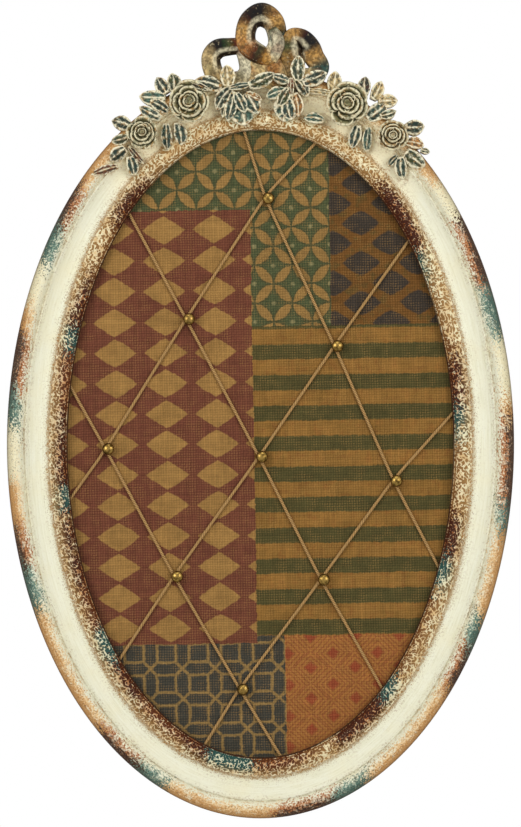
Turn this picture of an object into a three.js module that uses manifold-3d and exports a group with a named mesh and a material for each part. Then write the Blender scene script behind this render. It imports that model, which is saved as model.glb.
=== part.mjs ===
// An oval pin board: a painted cast frame with a crest of roses, leaves and a ribbon bow round a padded,
// cloth-covered board that carries a lattice of jute twine held by brass dome tacks.
//
// Millimetres, +Z up. The face looks along -Y, and Y = 0 is the rear face of the frame and its back panel.
// Depth is counted forward from that rear face, and "across" is counted outward from the sight edge.
// The origin is the middle of the oval.

import * as THREE from 'three';
import { mergeVertices } from 'three/addons/utils/BufferGeometryUtils.js';
import Module from 'manifold-3d';

const wasm = await Module();
wasm.setup();

// Frame
const SIGHT_HALF_WIDTH = 154.6;
const SIGHT_HALF_HEIGHT = 251.4;
const MOULDING_WIDTH = 48.6;
const RIM_DEPTH = 28.6;
const LIP_THICKNESS = 2.4;
const REAR_CHAMFER = 1.2;
const SEAT_GAP = 0.3;
const OVAL_SEGMENTS = 52;

// Board, from the rear face forward
const PANEL_THICKNESS = 2.5;
const CLOTH_THICKNESS = 0.6;
const CORE_THICKNESS = 5;
const FOAM_THICKNESS = 2.5;
const BOARD_OVERLAP = 6.4;
const PANEL_CLEARANCE = 0.5;
const REBATE_CLEARANCE = 0.9;
const HEM_WIDTH = 14;

// Twine
const TWINE_DIAMETER = 2.5;
const TWINE_SIDES = 8;
const HUMP_RUN = 9;

// Tacks
const TACK_DIAMETER = 9.6;
const TACK_DOME_HEIGHT = 3.4;
const TACK_SHANK_DIAMETER = 1.2;
const TACK_SHANK_LENGTH = 12.4;
const TACK_SEGMENTS = 10;
const HOLE_SIDES = 6;
const HOLE_OVERRUN = 1.2;

// Crest
const CREST_BED_RISE = 2.6;
const LEAF_RIDGE_HEIGHT = 2.8;
const LEAF_EDGE_HEIGHT = 0.8;
const LEAF_RISE_OVER_BOW = 3.6;
const ROSE_HEIGHT = 12;
const ROSE_SEGMENTS = 18;
const BLOOM_HEIGHT = 9;
const BOW_WIDTH = 100;
const BOW_HEIGHT = 67.7;
const BOW_LAP = 15.2;
const BOW_OFFSET = 3.2;
const BOW_DEPTH = 28;
const RIBBON_WIDTH = 15.4;
const RIBBON_THICKNESS = 9;
const RIBBON_STEPS = 2;

// Back hardware
const BUTTON_LENGTH = 26;
const BUTTON_WIDTH = 11;
const BUTTON_THICKNESS = 1.2;
const BUTTON_REACH = 15;
const BUTTON_END_SEGMENTS = 4;
const SCREW_SETBACK = 7;
const SCREW_HEAD_DIAMETER = 6;
const SCREW_HEAD_HEIGHT = 1.9;
const SCREW_SHANK_DIAMETER = 2.8;
const SCREW_LENGTH = 12;
const SCREW_SLOT_WIDTH = 0.9;
const SCREW_SLOT_DEPTH = 0.8;
const SCREW_SEGMENTS = 8;
const STRAP_WIDTH = 11;
const STRAP_LENGTH = 14;
const STRAP_THICKNESS = 1;
const EYE_SEGMENTS = 12;
const LOOP_WIRE_DIAMETER = 2;
const LOOP_HALF_WIDTH = 9.5;
const LOOP_DROP = 20.5;
const STRAP_SCREW_DROP = 8;
const BUMPER_DIAMETER = 12;
const BUMPER_HEIGHT = 5;
const BUMPER_CHAMFER = 0.8;
const BUMPER_SEGMENTS = 16;

// Steps of halving when a place on the oval is searched for
const HALVING_STEPS = 40;

// Depths of the layers of the board and of the lip that stands over it
const hemBack = PANEL_THICKNESS + SEAT_GAP;
const coreBack = hemBack + CLOTH_THICKNESS + SEAT_GAP;
const coreFront = coreBack + CORE_THICKNESS;
const foamBack = coreFront + SEAT_GAP;
const foamFront = foamBack + FOAM_THICKNESS;
const clothBack = foamFront + SEAT_GAP;
const boardFront = clothBack + CLOTH_THICKNESS;
const lipBack = boardFront + TWINE_DIAMETER + SEAT_GAP + SEAT_GAP;
const lipFront = lipBack + LIP_THICKNESS;
const relief = RIM_DEPTH - lipFront;
const rebate = BOARD_OVERLAP + SEAT_GAP + TWINE_DIAMETER + REBATE_CLEARANCE;
const outerHalfWidth = SIGHT_HALF_WIDTH + MOULDING_WIDTH;
const outerHalfHeight = SIGHT_HALF_HEIGHT + MOULDING_WIDTH;
const crestPlane = RIM_DEPTH + CREST_BED_RISE;
const crestBack = (lipBack + lipFront) / 2;

// Front of the moulding from the sight edge out: [share of its width, share of its relief]
const MOULDING_PROFILE_SHARES = [
  [0, 0], [0.05, 0.2], [0.1, 0.4], [0.16, 0.46], [0.22, 0.36], [0.27, 0.12], [0.295, 0.2], [0.33, 0.06],
  [0.42, 0], [0.54, 0.12], [0.64, 0.38], [0.69, 0.6], [0.71, 0.48], [0.75, 0.76], [0.8, 0.96], [0.87, 1],
  [0.93, 0.82], [0.975, 0.44], [1, 0],
];

// Bed that the leaves lie on, smoother than the moulding: [share of its width, share of its relief]
const LEAF_BED_SHARES = [[0, 0.5], [0.35, 0.3], [0.6, 0.5], [0.78, 1], [0.95, 1], [1.25, 0.8], [2, 0.8]];

// Tack places as shares of the sight half width and half height
const TACK_PLACE_SHARES = [
  [0.04, 0.783], [-0.37, 0.398], [0.4, 0.312], [-0.789, -0.016], [0.008, -0.041], [0.706, -0.118],
  [-0.432, -0.423], [0.329, -0.433], [-0.091, -0.783],
];

// Each string runs between two angles on the sight edge, clockwise from the top, by way of three tacks
const TWINE_RUNS = [
  { name: 'twine_falling_1', from: -4.8, tacks: [0, 2, 5], to: 112.8, isOver: false },
  { name: 'twine_falling_2', from: -42.9, tacks: [1, 4, 7], to: 141, isOver: false },
  { name: 'twine_falling_3', from: -79.8, tacks: [3, 6, 8], to: 174.2, isOver: false },
  { name: 'twine_rising_1', from: -99.8, tacks: [3, 1, 0], to: 16.4, isOver: true },
  { name: 'twine_rising_2', from: -133.2, tacks: [6, 4, 2], to: 49.9, isOver: true },
  { name: 'twine_rising_3', from: -163.4, tacks: [8, 7, 5], to: 84.6, isOver: true },
];

// Hump of a rising string over a falling one: [share of the run, share of the rise]
const HUMP_SHARES = [[-1, 0], [-0.62, 0.32], [-0.28, 0.84], [0, 1], [0.28, 0.84], [0.62, 0.32], [1, 0]];

// Turn of a string end over the board's edge: [share of the corner reach outward, share of it forward]
const TURN_SHARES = [[-0.4, 1], [0.62, 0.72], [1, -0.26]];

// Top of a tack's dome: [share of its radius, share of its height], and where its underside ends
const TACK_DOME_SHARES = [[0, 1], [0.42, 0.92], [0.75, 0.64], [0.95, 0.26], [1, 0]];
const TACK_UNDERSIDE_SHARE = 0.72;

// Roses: middle as shares of the outer half width and half height, radius as a share of the moulding width
const ROSES = [
  { name: 'rose_left_inner', place: [-0.281, 0.909], radiusShare: 0.362, turn: 0.3, tall: 1 },
  { name: 'rose_left_outer', place: [-0.463, 0.827], radiusShare: 0.272, turn: 1.1, tall: 1 },
  { name: 'rose_right_inner', place: [0.341, 0.904], radiusShare: 0.37, turn: 2.2, tall: 1 },
  { name: 'rose_right_outer', place: [0.518, 0.819], radiusShare: 0.264, turn: 0.8, tall: 1 },
];
const BLOOMS = [
  { name: 'bloom_left', place: [-0.049, 0.891], radiusShare: 0.24, turn: 0.5, tall: 1.2 },
  { name: 'bloom_right', place: [0.073, 0.9], radiusShare: 0.235, turn: 1.7, tall: 1.25 },
];

// Rings of a rose from its back to its heart: [share of its radius, share of its height, petals]
const ROSE_RING_SHARES = [
  [1, 0, 0], [1, 0.22, 5], [0.95, 0.42, 5], [0.8, 0.3, 5], [0.76, 0.7, 4], [0.58, 0.52, 4], [0.52, 0.9, 3],
  [0.34, 0.66, 3], [0.27, 1, 2], [0, 0.84, 0],
];
const BLOOM_RING_SHARES = [
  [1, 0, 0], [1, 0.3, 3], [0.92, 0.55, 3], [0.66, 0.4, 3], [0.56, 0.95, 2], [0.3, 0.75, 2], [0.22, 1, 0],
  [0, 0.9, 0],
];
const PETAL_WAVE_SHARE = 0.05;

// Leaves of the five sprays: [base x, base z, tip x, tip z, width, 1 where it lies over the bow], all as shares
// of the moulding width, counted from the middle of the rose or of the centre ground that carries them.
const LEAF_TABLES = {
  leaf_spray_centre: [
    [-0.52, 0.2, -1.07, 0.36, 0.24], [-0.46, 0.17, -0.5, 0.68, 0.2, 1], [-0.48, 0.26, -0.71, -0.09, 0.22],
    [-0.4, 0.14, -0.52, -0.3, 0.19], [-0.56, -0.05, -0.67, -0.52, 0.24], [0.1, 0.07, -0.31, 0.3, 0.2, 1],
    [-0.06, 0.26, 0.27, 0.37, 0.2, 1], [0.56, 0.01, 0.65, 0.75, 0.22, 1], [0.48, 0.01, 1.12, 0.49, 0.24, 1],
    [0.44, 0.07, 0.82, 0.1, 0.2], [0.52, 0.14, 0.64, -0.22, 0.19], [0.1, -0.05, 0.44, -0.33, 0.26],
    [-0.36, -0.05, 0.02, -0.36, 0.26],
  ],
  leaf_spray_left_inner: [
    [-0.33, 0.07, -0.58, 0.41, 0.22], [-0.2, 0.13, -0.29, 0.48, 0.24], [-0.25, -0.06, -0.82, 0.1, 0.27],
    [-0.2, -0.12, -0.63, 0.02, 0.21], [-0.33, -0.24, -0.33, -0.78, 0.17], [-0.16, -0.24, -0.13, -0.69, 0.22],
  ],
  leaf_spray_left_outer: [
    [0.1, 0.14, -0.04, 0.44, 0.2], [-0.15, 0.08, -0.51, 0.22, 0.24], [-0.15, 0.02, -0.52, -0.17, 0.18],
    [-0.2, -0.1, -0.52, -0.46, 0.21], [-0.07, -0.1, 0.03, -0.49, 0.15], [-0.15, -0.23, -0.15, -0.69, 0.2],
    [-0.32, -0.35, -0.76, -0.65, 0.13],
  ],
  leaf_spray_right_inner: [
    [-0.21, 0.1, -0.19, 0.53, 0.26], [-0.17, 0.22, 0.25, 0.33, 0.16], [0.25, 0.16, 0.3, 0.46, 0.22],
    [0.33, 0.04, 0.55, 0.38, 0.21], [0.25, -0.09, 0.62, 0.07, 0.25], [0.25, -0.21, 0.58, -0.12, 0.22],
    [-0.26, -0.15, -0.71, -0.2, 0.18], [0.16, -0.21, 0.08, -0.64, 0.21], [0.33, -0.27, 0.36, -0.75, 0.14],
    [-0.17, 0.04, -0.63, 0.19, 0.14], [0.41, -0.15, 0.83, 0.06, 0.21],
  ],
  leaf_spray_right_outer: [
    [0.03, 0.13, 0.09, 0.44, 0.2], [0.18, 0.07, 0.53, 0.15, 0.24], [0.18, -0.06, 0.52, -0.16, 0.2],
    [0.13, -0.18, 0.52, -0.5, 0.24], [0.34, -0.3, 0.63, -0.27, 0.08], [0.13, -0.18, 0.16, -0.67, 0.19],
    [0.05, -0.18, -0.1, -0.48, 0.12],
  ],
};

// Stations of a leaf from base to tip: [share of its length, share of its half width, share of its ridge]
const LEAF_STATION_SHARES = [
  [0, 0.7, 0.7], [0.34, 1.06, 1], [0.7, 0.98, 0.85], [0.9, 0.56, 0.5], [1, 0.06, 0.3],
];

// Discs that join the leaves of a spray below each rose, and the oval ground of the centre
const CALYX_SHARE = 0.84;
const CENTRE_GROUND = { place: [-0.005, 0.908], halfWidthShare: 0.68, halfHeightShare: 0.25 };
const CENTRE_RISE = 3.6;

// Section of the ribbon: [share of its half width, share of its half thickness]
const RIBBON_SECTION_SHARES = [
  [-0.9, -1], [-1, 0.3], [-0.55, 0.92], [0, 1], [0.55, 0.92], [1, 0.3], [0.9, -1],
];

// Ribbon loops: middle-line points as shares of the bow's width and height, each with a width share
const BOW_LOOPS = [
  {
    depthShare: 0,
    points: [
      [-0.428, 0.331, 1], [-0.388, 0.461, 0.85], [-0.3, 0.502, 0.62], [-0.196, 0.485, 0.65],
      [-0.148, 0.331, 0.83], [-0.148, 0.165, 0.85], [-0.26, 0.047, 0.9], [-0.388, 0.142, 1],
    ],
  },
  {
    depthShare: 0.2,
    points: [
      [-0.02, 0.855, 1.25], [-0.112, 0.79, 1.1], [-0.148, 0.65, 1.02], [-0.13, 0.5, 1],
      [-0.06, 0.4, 0.95], [0.028, 0.36, 0.9], [0.088, 0.47, 0.9], [0.098, 0.61, 0.92],
      [0.068, 0.77, 1.1],
    ],
  },
  {
    depthShare: 0.05,
    points: [
      [0.225, 0.6, 0.8], [0.305, 0.59, 0.8], [0.375, 0.48, 0.9], [0.405, 0.36, 0.97],
      [0.44, 0.23, 1], [0.37, 0.12, 1], [0.265, 0.15, 1], [0.222, 0.32, 1.05],
      [0.196, 0.48, 1],
    ],
  },
];
const BOW_KNOT = { place: [0.03, 0.21], halfWidthShare: 0.21, halfHeightShare: 0.24 };
const KNOT_SEGMENTS = 14;
const KNOT_RING_SHARES = [[0.8, -1], [1, -0.5], [1, 0.5], [0.8, 0.9], [0.4, 1.1]];

// Hanger loop from the middle of its bar round: [share of its half width, share of its drop]
const LOOP_SHARES = [
  [-0.7, 0], [0.7, 0], [0.95, 0.04], [1, 0.2], [0.98, 0.4], [0.85, 0.68], [0.58, 0.9], [0.2, 1],
  [-0.2, 1], [-0.58, 0.9], [-0.85, 0.68], [-0.98, 0.4], [-1, 0.2], [-0.95, 0.04],
];

// Places round the oval, in degrees clockwise from the top as seen from the front
const BUTTON_ANGLES = [25, 90, 155, 205, 270, 335];
const HANGER_ANGLES = { right: 62, left: -62 };
const BUMPER_ANGLES = { right: 145, left: -145 };
const HARDWARE_SHARE = 0.58;

const radians = THREE.MathUtils.degToRad;

/** A point from its width, depth and height. */
function at(x, depth, z) {
  return new THREE.Vector3(x, -depth, z);
}

/** The point on the oval that lies `across` outside the sight edge at an angle from the top. */
function onOval(angle, across) {
  return {
    x: (SIGHT_HALF_WIDTH + across) * Math.sin(angle),
    z: (SIGHT_HALF_HEIGHT + across) * Math.cos(angle),
  };
}

/** The direction square to the oval at an angle, as a turn about Y from +Z towards +X. */
function headingAt(angle, across) {
  const place = onOval(angle, across);
  const halfWidth = SIGHT_HALF_WIDTH + across;
  const halfHeight = SIGHT_HALF_HEIGHT + across;
  return Math.atan2(place.x / halfWidth ** 2, place.z / halfHeight ** 2);
}

/** How far outside the sight edge a place lies, found by halving. */
function acrossAt(x, z) {
  let low = -SIGHT_HALF_WIDTH;
  let high = SIGHT_HALF_WIDTH;
  for (let step = 0; step < HALVING_STEPS; step += 1) {
    const middle = (low + high) / 2;
    const size = (x / (SIGHT_HALF_WIDTH + middle)) ** 2 + (z / (SIGHT_HALF_HEIGHT + middle)) ** 2;
    if (size > 1) low = middle;
    else high = middle;
  }
  return (low + high) / 2;
}

/** A value read off a table of shares, straight between its rows. */
function readShares(table, share) {
  const next = table.findIndex((row) => row[0] > share);
  if (next === 0) return table[0][1];
  if (next < 0) return table[table.length - 1][1];
  const [lowShare, lowValue] = table[next - 1];
  const [highShare, highValue] = table[next];
  return lowValue + ((share - lowShare) / (highShare - lowShare)) * (highValue - lowValue);
}

/** Depth of the bed that a leaf lies on at a place. */
function bedDepth(x, z) {
  return lipFront + relief * readShares(LEAF_BED_SHARES, acrossAt(x, z) / MOULDING_WIDTH);
}

/** One closed body with merged corners, no flat triangles and its faces out. */
function closedBody(geometry) {
  geometry.deleteAttribute('normal');
  geometry.deleteAttribute('uv');
  const merged = mergeVertices(geometry);
  const points = merged.getAttribute('position');
  const corners = [0, 1, 2].map(() => new THREE.Vector3());
  const indices = [];
  let volume = 0;
  for (let i = 0; i < merged.index.count; i += 3) {
    const [a, b, c] = [0, 1, 2].map((k) => merged.index.getX(i + k));
    if (a === b || b === c || c === a) continue;
    indices.push(a, b, c);
    [a, b, c].forEach((index, k) => corners[k].fromBufferAttribute(points, index));
    volume += corners[0].dot(corners[1].clone().cross(corners[2]));
  }
  merged.setIndex(volume < 0 ? indices.reverse() : indices);
  return merged;
}

/** A solid for joining and cutting, from a closed body. */
function toSolid(geometry) {
  const vertProperties = new Float32Array(geometry.getAttribute('position').array);
  const triVerts = new Uint32Array(geometry.index.array);
  return new wasm.Manifold(new wasm.Mesh({ numProp: 3, vertProperties, triVerts }));
}

/** A closed body from a joined or cut solid. */
function toBody(solid) {
  const mesh = solid.getMesh();
  const geometry = new THREE.BufferGeometry();
  geometry.setAttribute('position', new THREE.BufferAttribute(mesh.vertProperties, mesh.numProp));
  geometry.setIndex(new THREE.BufferAttribute(mesh.triVerts, 1));
  return geometry;
}

/** A body through equal rings of points, closed by flat ends or joined end to end. */
function loft(rings, isLoop = false) {
  const count = rings[0].length;
  const indices = [];
  const spans = isLoop ? rings.length : rings.length - 1;
  for (let i = 0; i < spans; i += 1) {
    const near = i * count;
    const far = ((i + 1) % rings.length) * count;
    for (let j = 0; j < count; j += 1) {
      const k = (j + 1) % count;
      indices.push(near + j, near + k, far + k, near + j, far + k, far + j);
    }
  }
  const last = (rings.length - 1) * count;
  for (let j = 1; j < count - 1 && !isLoop; j += 1) {
    indices.push(0, j + 1, j, last, last + j, last + j + 1);
  }
  const geometry = new THREE.BufferGeometry().setFromPoints(rings.flat());
  geometry.setIndex(indices);
  return closedBody(geometry);
}

/** A body turned about Y from [radius, depth] points. */
function turned(profile, segments) {
  const points = profile.map(([radius, depth]) => new THREE.Vector2(radius, -depth));
  return closedBody(new THREE.LatheGeometry(points, segments));
}

/** A turned body drawn out to the oval: full width outside the sight edge, in proportion inside it. */
function ovalBody(profile, segments) {
  const geometry = turned(profile.map(([across, depth]) => [SIGHT_HALF_WIDTH + across, depth]), segments);
  const points = geometry.getAttribute('position');
  for (let i = 0; i < points.count; i += 1) {
    const radius = Math.hypot(points.getX(i), points.getZ(i));
    const inner = Math.min(radius, SIGHT_HALF_WIDTH) / SIGHT_HALF_WIDTH;
    const halfHeight = SIGHT_HALF_HEIGHT * inner + Math.max(radius - SIGHT_HALF_WIDTH, 0);
    if (radius > 0) points.setZ(i, (points.getZ(i) / radius) * halfHeight);
  }
  return geometry;
}

/** A round-sided tube along a list of points, with its ends square or joined end to end. */
function tube(path, diameter, sides, isLoop = false) {
  const count = path.length;
  const before = (i) => path[isLoop ? (i + count - 1) % count : Math.max(i - 1, 0)];
  const after = (i) => path[isLoop ? (i + 1) % count : Math.min(i + 1, count - 1)];
  let side = null;
  const rings = path.map((point, i) => {
    const inward = point.clone().sub(before(i)).normalize();
    const outward = after(i).clone().sub(point).normalize();
    const along = inward.add(outward).normalize();
    const guess = side ?? (Math.abs(along.y) > Math.SQRT1_2 ? new THREE.Vector3(1, 0, 0) : at(0, 1, 0));
    side = guess.clone().addScaledVector(along, -guess.dot(along)).normalize();
    const other = along.clone().cross(side);
    return Array.from({ length: sides }, (_, j) => {
      const angle = ((j + 0.5) / sides) * 2 * Math.PI;
      const spoke = side.clone().multiplyScalar(Math.cos(angle)).addScaledVector(other, Math.sin(angle));
      return point.clone().addScaledVector(spoke, diameter / 2);
    });
  });
  return loft(rings, isLoop);
}

/** An upright pin of a given depth range, for a hole. */
function pin(x, z, diameter, backDepth, frontDepth, sides) {
  const radius = diameter / 2;
  const body = turned([[0, backDepth], [radius, backDepth], [radius, frontDepth], [0, frontDepth]], sides);
  body.translate(x, 0, z);
  return toSolid(body);
}

/** A material of its own for one mesh. */
function finish(color, roughness, metalness) {
  return new THREE.MeshStandardMaterial({ color, roughness, metalness });
}

const group = new THREE.Group();

/** Adds a named mesh to a group and returns it. */
function add(name, geometry, material, parent = group) {
  const mesh = new THREE.Mesh(geometry, material);
  mesh.name = name;
  parent.add(mesh);
  return mesh;
}

// Frame ring

/** The ring's section as [across, depth], made larger by `grow` for cutting what sits on it. */
function ringProfile(grow) {
  const front = MOULDING_PROFILE_SHARES.map(([width, height]) => [
    MOULDING_WIDTH * width + (width === 1 ? grow : 0),
    lipFront + relief * height + grow,
  ]);
  const side = [
    [MOULDING_WIDTH + grow, REAR_CHAMFER],
    [MOULDING_WIDTH - REAR_CHAMFER, 0],
    [rebate, 0],
    [rebate, lipBack],
    [0, lipBack],
  ];
  return [...front, ...side, front[0]];
}

const screwPlaces = [
  ...BUTTON_ANGLES.map((degrees) => onOval(radians(degrees), rebate + SCREW_SETBACK)),
  ...Object.values(HANGER_ANGLES).map((degrees) => {
    const place = onOval(radians(degrees), MOULDING_WIDTH * HARDWARE_SHARE);
    return { x: place.x, z: place.z - STRAP_SCREW_DROP };
  }),
];

function frameRing() {
  let ring = toSolid(ovalBody(ringProfile(0), OVAL_SEGMENTS));
  screwPlaces.forEach(({ x, z }) => {
    const diameter = SCREW_SHANK_DIAMETER + SEAT_GAP + SEAT_GAP;
    ring = ring.subtract(pin(x, z, diameter, -HOLE_OVERRUN, SCREW_LENGTH + SEAT_GAP, HOLE_SIDES));
  });
  return toBody(ring);
}

add('frame_ring', frameRing(), finish('#d9ccab', 0.62, 0));

// Board: back panel, core, foam and the cloth that wraps them

const middle = -SIGHT_HALF_WIDTH;
const tackPlaces = TACK_PLACE_SHARES.map(([x, z]) => ({
  x: SIGHT_HALF_WIDTH * x,
  z: SIGHT_HALF_HEIGHT * z,
}));

/** A flat oval layer of the board. */
function ovalPlate(across, backDepth, frontDepth) {
  const profile = [[middle, backDepth], [across, backDepth], [across, frontDepth], [middle, frontDepth]];
  return ovalBody(profile, OVAL_SEGMENTS);
}

/** A layer with a hole for each tack shank. */
function withTackHoles(body) {
  let solid = toSolid(body);
  const diameter = TACK_SHANK_DIAMETER + SEAT_GAP + SEAT_GAP;
  tackPlaces.forEach(({ x, z }) => {
    solid = solid.subtract(pin(x, z, diameter, coreBack - SEAT_GAP, lipFront, HOLE_SIDES));
  });
  return toBody(solid);
}

const coreAcross = BOARD_OVERLAP - CLOTH_THICKNESS - SEAT_GAP;
const clothProfile = [
  [middle, boardFront],
  [BOARD_OVERLAP, boardFront],
  [BOARD_OVERLAP, hemBack],
  [BOARD_OVERLAP - HEM_WIDTH, hemBack],
  [BOARD_OVERLAP - HEM_WIDTH, hemBack + CLOTH_THICKNESS],
  [BOARD_OVERLAP - CLOTH_THICKNESS, hemBack + CLOTH_THICKNESS],
  [BOARD_OVERLAP - CLOTH_THICKNESS, clothBack],
  [middle, clothBack],
];

add('fabric_cover', withTackHoles(ovalBody(clothProfile, OVAL_SEGMENTS)), finish('#7a4a2c', 0.95, 0));
add('foam_pad', withTackHoles(ovalPlate(coreAcross, foamBack, foamFront)), finish('#e8e2cf', 0.95, 0));
add('board_core', withTackHoles(ovalPlate(coreAcross, coreBack, coreFront)), finish('#a08a63', 0.9, 0));
add('back_panel', ovalPlate(rebate - PANEL_CLEARANCE, 0, PANEL_THICKNESS), finish('#6b4a2e', 0.75, 0));

// Twine lattice

const twineDepth = boardFront + SEAT_GAP + TWINE_DIAMETER / 2;
const humpRise = TWINE_DIAMETER + SEAT_GAP;
const twineOffset = TACK_SHANK_DIAMETER / 2 + SEAT_GAP + TWINE_DIAMETER / 2;
const cornerReach = SEAT_GAP + TWINE_DIAMETER / 2;

/** Where a straight run from a place leaves the board's edge, as a place and its angle. */
function edgeAngle(start, end, across) {
  let low = 0;
  let high = 2;
  for (let step = 0; step < HALVING_STEPS; step += 1) {
    const middle = (low + high) / 2;
    const x = start.x + (end.x - start.x) * middle;
    const z = start.z + (end.z - start.z) * middle;
    if (acrossAt(x, z) < across) low = middle;
    else high = middle;
  }
  const x = start.x + (end.x - start.x) * low;
  const z = start.z + (end.z - start.z) * low;
  return Math.atan2(x / (SIGHT_HALF_WIDTH + across), z / (SIGHT_HALF_HEIGHT + across));
}

/** Points of a string's end from over the board down its edge. */
function stringEnd(lastPlace, sightAngle) {
  const angle = edgeAngle(lastPlace, onOval(radians(sightAngle), 0), BOARD_OVERLAP);
  const turn = TURN_SHARES.map(([outward, forward]) => {
    const place = onOval(angle, BOARD_OVERLAP + cornerReach * outward);
    return at(place.x, boardFront + cornerReach * forward, place.z);
  });
  const foot = onOval(angle, BOARD_OVERLAP + cornerReach);
  return [...turn, at(foot.x, hemBack + TWINE_DIAMETER / 2, foot.z)];
}

/** The passes of a string beside its tacks, on the side that keeps the crossing under the dome. */
function tackPasses(run) {
  const ends = [onOval(radians(run.from), 0), onOval(radians(run.to), 0)];
  const stops = [ends[0], ...run.tacks.map((index) => tackPlaces[index]), ends[1]];
  return run.tacks.map((index, i) => {
    const alongX = stops[i + 2].x - stops[i].x;
    const alongZ = stops[i + 2].z - stops[i].z;
    const length = Math.hypot(alongX, alongZ);
    const side = run.isOver ? 1 : -1;
    return {
      x: tackPlaces[index].x - (twineOffset * side * alongZ) / length,
      z: tackPlaces[index].z + (twineOffset * side * alongX) / length,
    };
  });
}

/** The place where a run crosses the other string that goes by the same tack. */
function crossingAt(places, i, otherPlaces, j) {
  const p = places[i];
  const r = places[i + 1];
  const q = otherPlaces[j];
  const s = otherPlaces[j + 1];
  const spread = (r.x - p.x) * (s.z - q.z) - (r.z - p.z) * (s.x - q.x);
  const share = ((q.x - p.x) * (s.z - q.z) - (q.z - p.z) * (s.x - q.x)) / spread;
  return { x: p.x + (r.x - p.x) * share, z: p.z + (r.z - p.z) * share };
}

/** A string's whole list of stops: sight edge, tack passes, sight edge. */
function stopsOf(run) {
  return [onOval(radians(run.from), 0), ...tackPasses(run), onOval(radians(run.to), 0)];
}

/** The route of one string from edge to edge. */
function twineRoute(run) {
  const stops = stopsOf(run);
  const route = stringEnd(stops[1], run.from).reverse();
  run.tacks.forEach((tack, i) => {
    if (!run.isOver) {
      route.push(at(stops[i + 1].x, twineDepth, stops[i + 1].z));
      return;
    }
    const under = TWINE_RUNS.find((other) => !other.isOver && other.tacks.includes(tack));
    const underStops = stopsOf(under);
    const j = under.tacks.indexOf(tack);
    const middle = crossingAt(stops, i + 1, underStops, j + 1);
    const alongX = stops[i + 2].x - stops[i].x;
    const alongZ = stops[i + 2].z - stops[i].z;
    const length = Math.hypot(alongX, alongZ);
    HUMP_SHARES.forEach(([along, rise]) => {
      const reach = (HUMP_RUN * along) / length;
      route.push(at(middle.x + alongX * reach, twineDepth + humpRise * rise, middle.z + alongZ * reach));
    });
  });
  return [...route, ...stringEnd(stops[stops.length - 2], run.to)];
}

TWINE_RUNS.forEach((run) => {
  add(run.name, tube(twineRoute(run), TWINE_DIAMETER, TWINE_SIDES), finish('#8a5a38', 0.9, 0));
});

// Tacks: a hollow dome over each crossing, its shank in the core

const domeRim = boardFront + humpRise * 2 - SEAT_GAP;
const domeHollow = SEAT_GAP * 3;
const tackRadius = TACK_DIAMETER / 2;
const shankRadius = TACK_SHANK_DIAMETER / 2;
const shankTop = domeRim + domeHollow + SEAT_GAP;

const tackProfile = [
  ...TACK_DOME_SHARES.map(([radius, height]) => [tackRadius * radius, domeRim + TACK_DOME_HEIGHT * height]),
  [tackRadius * TACK_UNDERSIDE_SHARE, domeRim + domeHollow],
  [shankRadius, shankTop],
  [shankRadius, shankTop - TACK_SHANK_LENGTH + TACK_SHANK_DIAMETER],
  [0, shankTop - TACK_SHANK_LENGTH],
];
tackPlaces.forEach(({ x, z }, i) => {
  const tack = add(`tack_${i + 1}`, turned(tackProfile, TACK_SEGMENTS), finish('#a8823c', 0.35, 1));
  tack.position.set(x, 0, z);
});

// Crest

const seatRing = toSolid(ovalBody(ringProfile(SEAT_GAP), OVAL_SEGMENTS));

/** The place given by shares of the outer half width and half height. */
function crestPlace([x, z]) {
  return { x: outerHalfWidth * x, z: outerHalfHeight * z };
}

/** A flower of scalloped petal rings on the crest plane, or its cutting shape when grown. */
function flower(spec, ringShares, plane, height, grow) {
  const middle = crestPlace(spec.place);
  const radius = MOULDING_WIDTH * spec.radiusShare;
  const rings = ringShares.map(([reach, rise, petals]) =>
    Array.from({ length: ROSE_SEGMENTS }, (_, j) => {
      const angle = (j / ROSE_SEGMENTS) * 2 * Math.PI;
      const wave = petals > 0 ? PETAL_WAVE_SHARE * Math.cos(petals * angle + spec.turn * petals) : 0;
      const spread = radius * reach * (1 + wave) + (reach > 0 ? grow : 0);
      const depth = plane + height * rise * (1 + wave) + (rise > 0 ? grow : -grow);
      return at(middle.x + spread * Math.cos(angle), depth, middle.z + spread * spec.tall * Math.sin(angle));
    }));
  return loft(rings);
}

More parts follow.
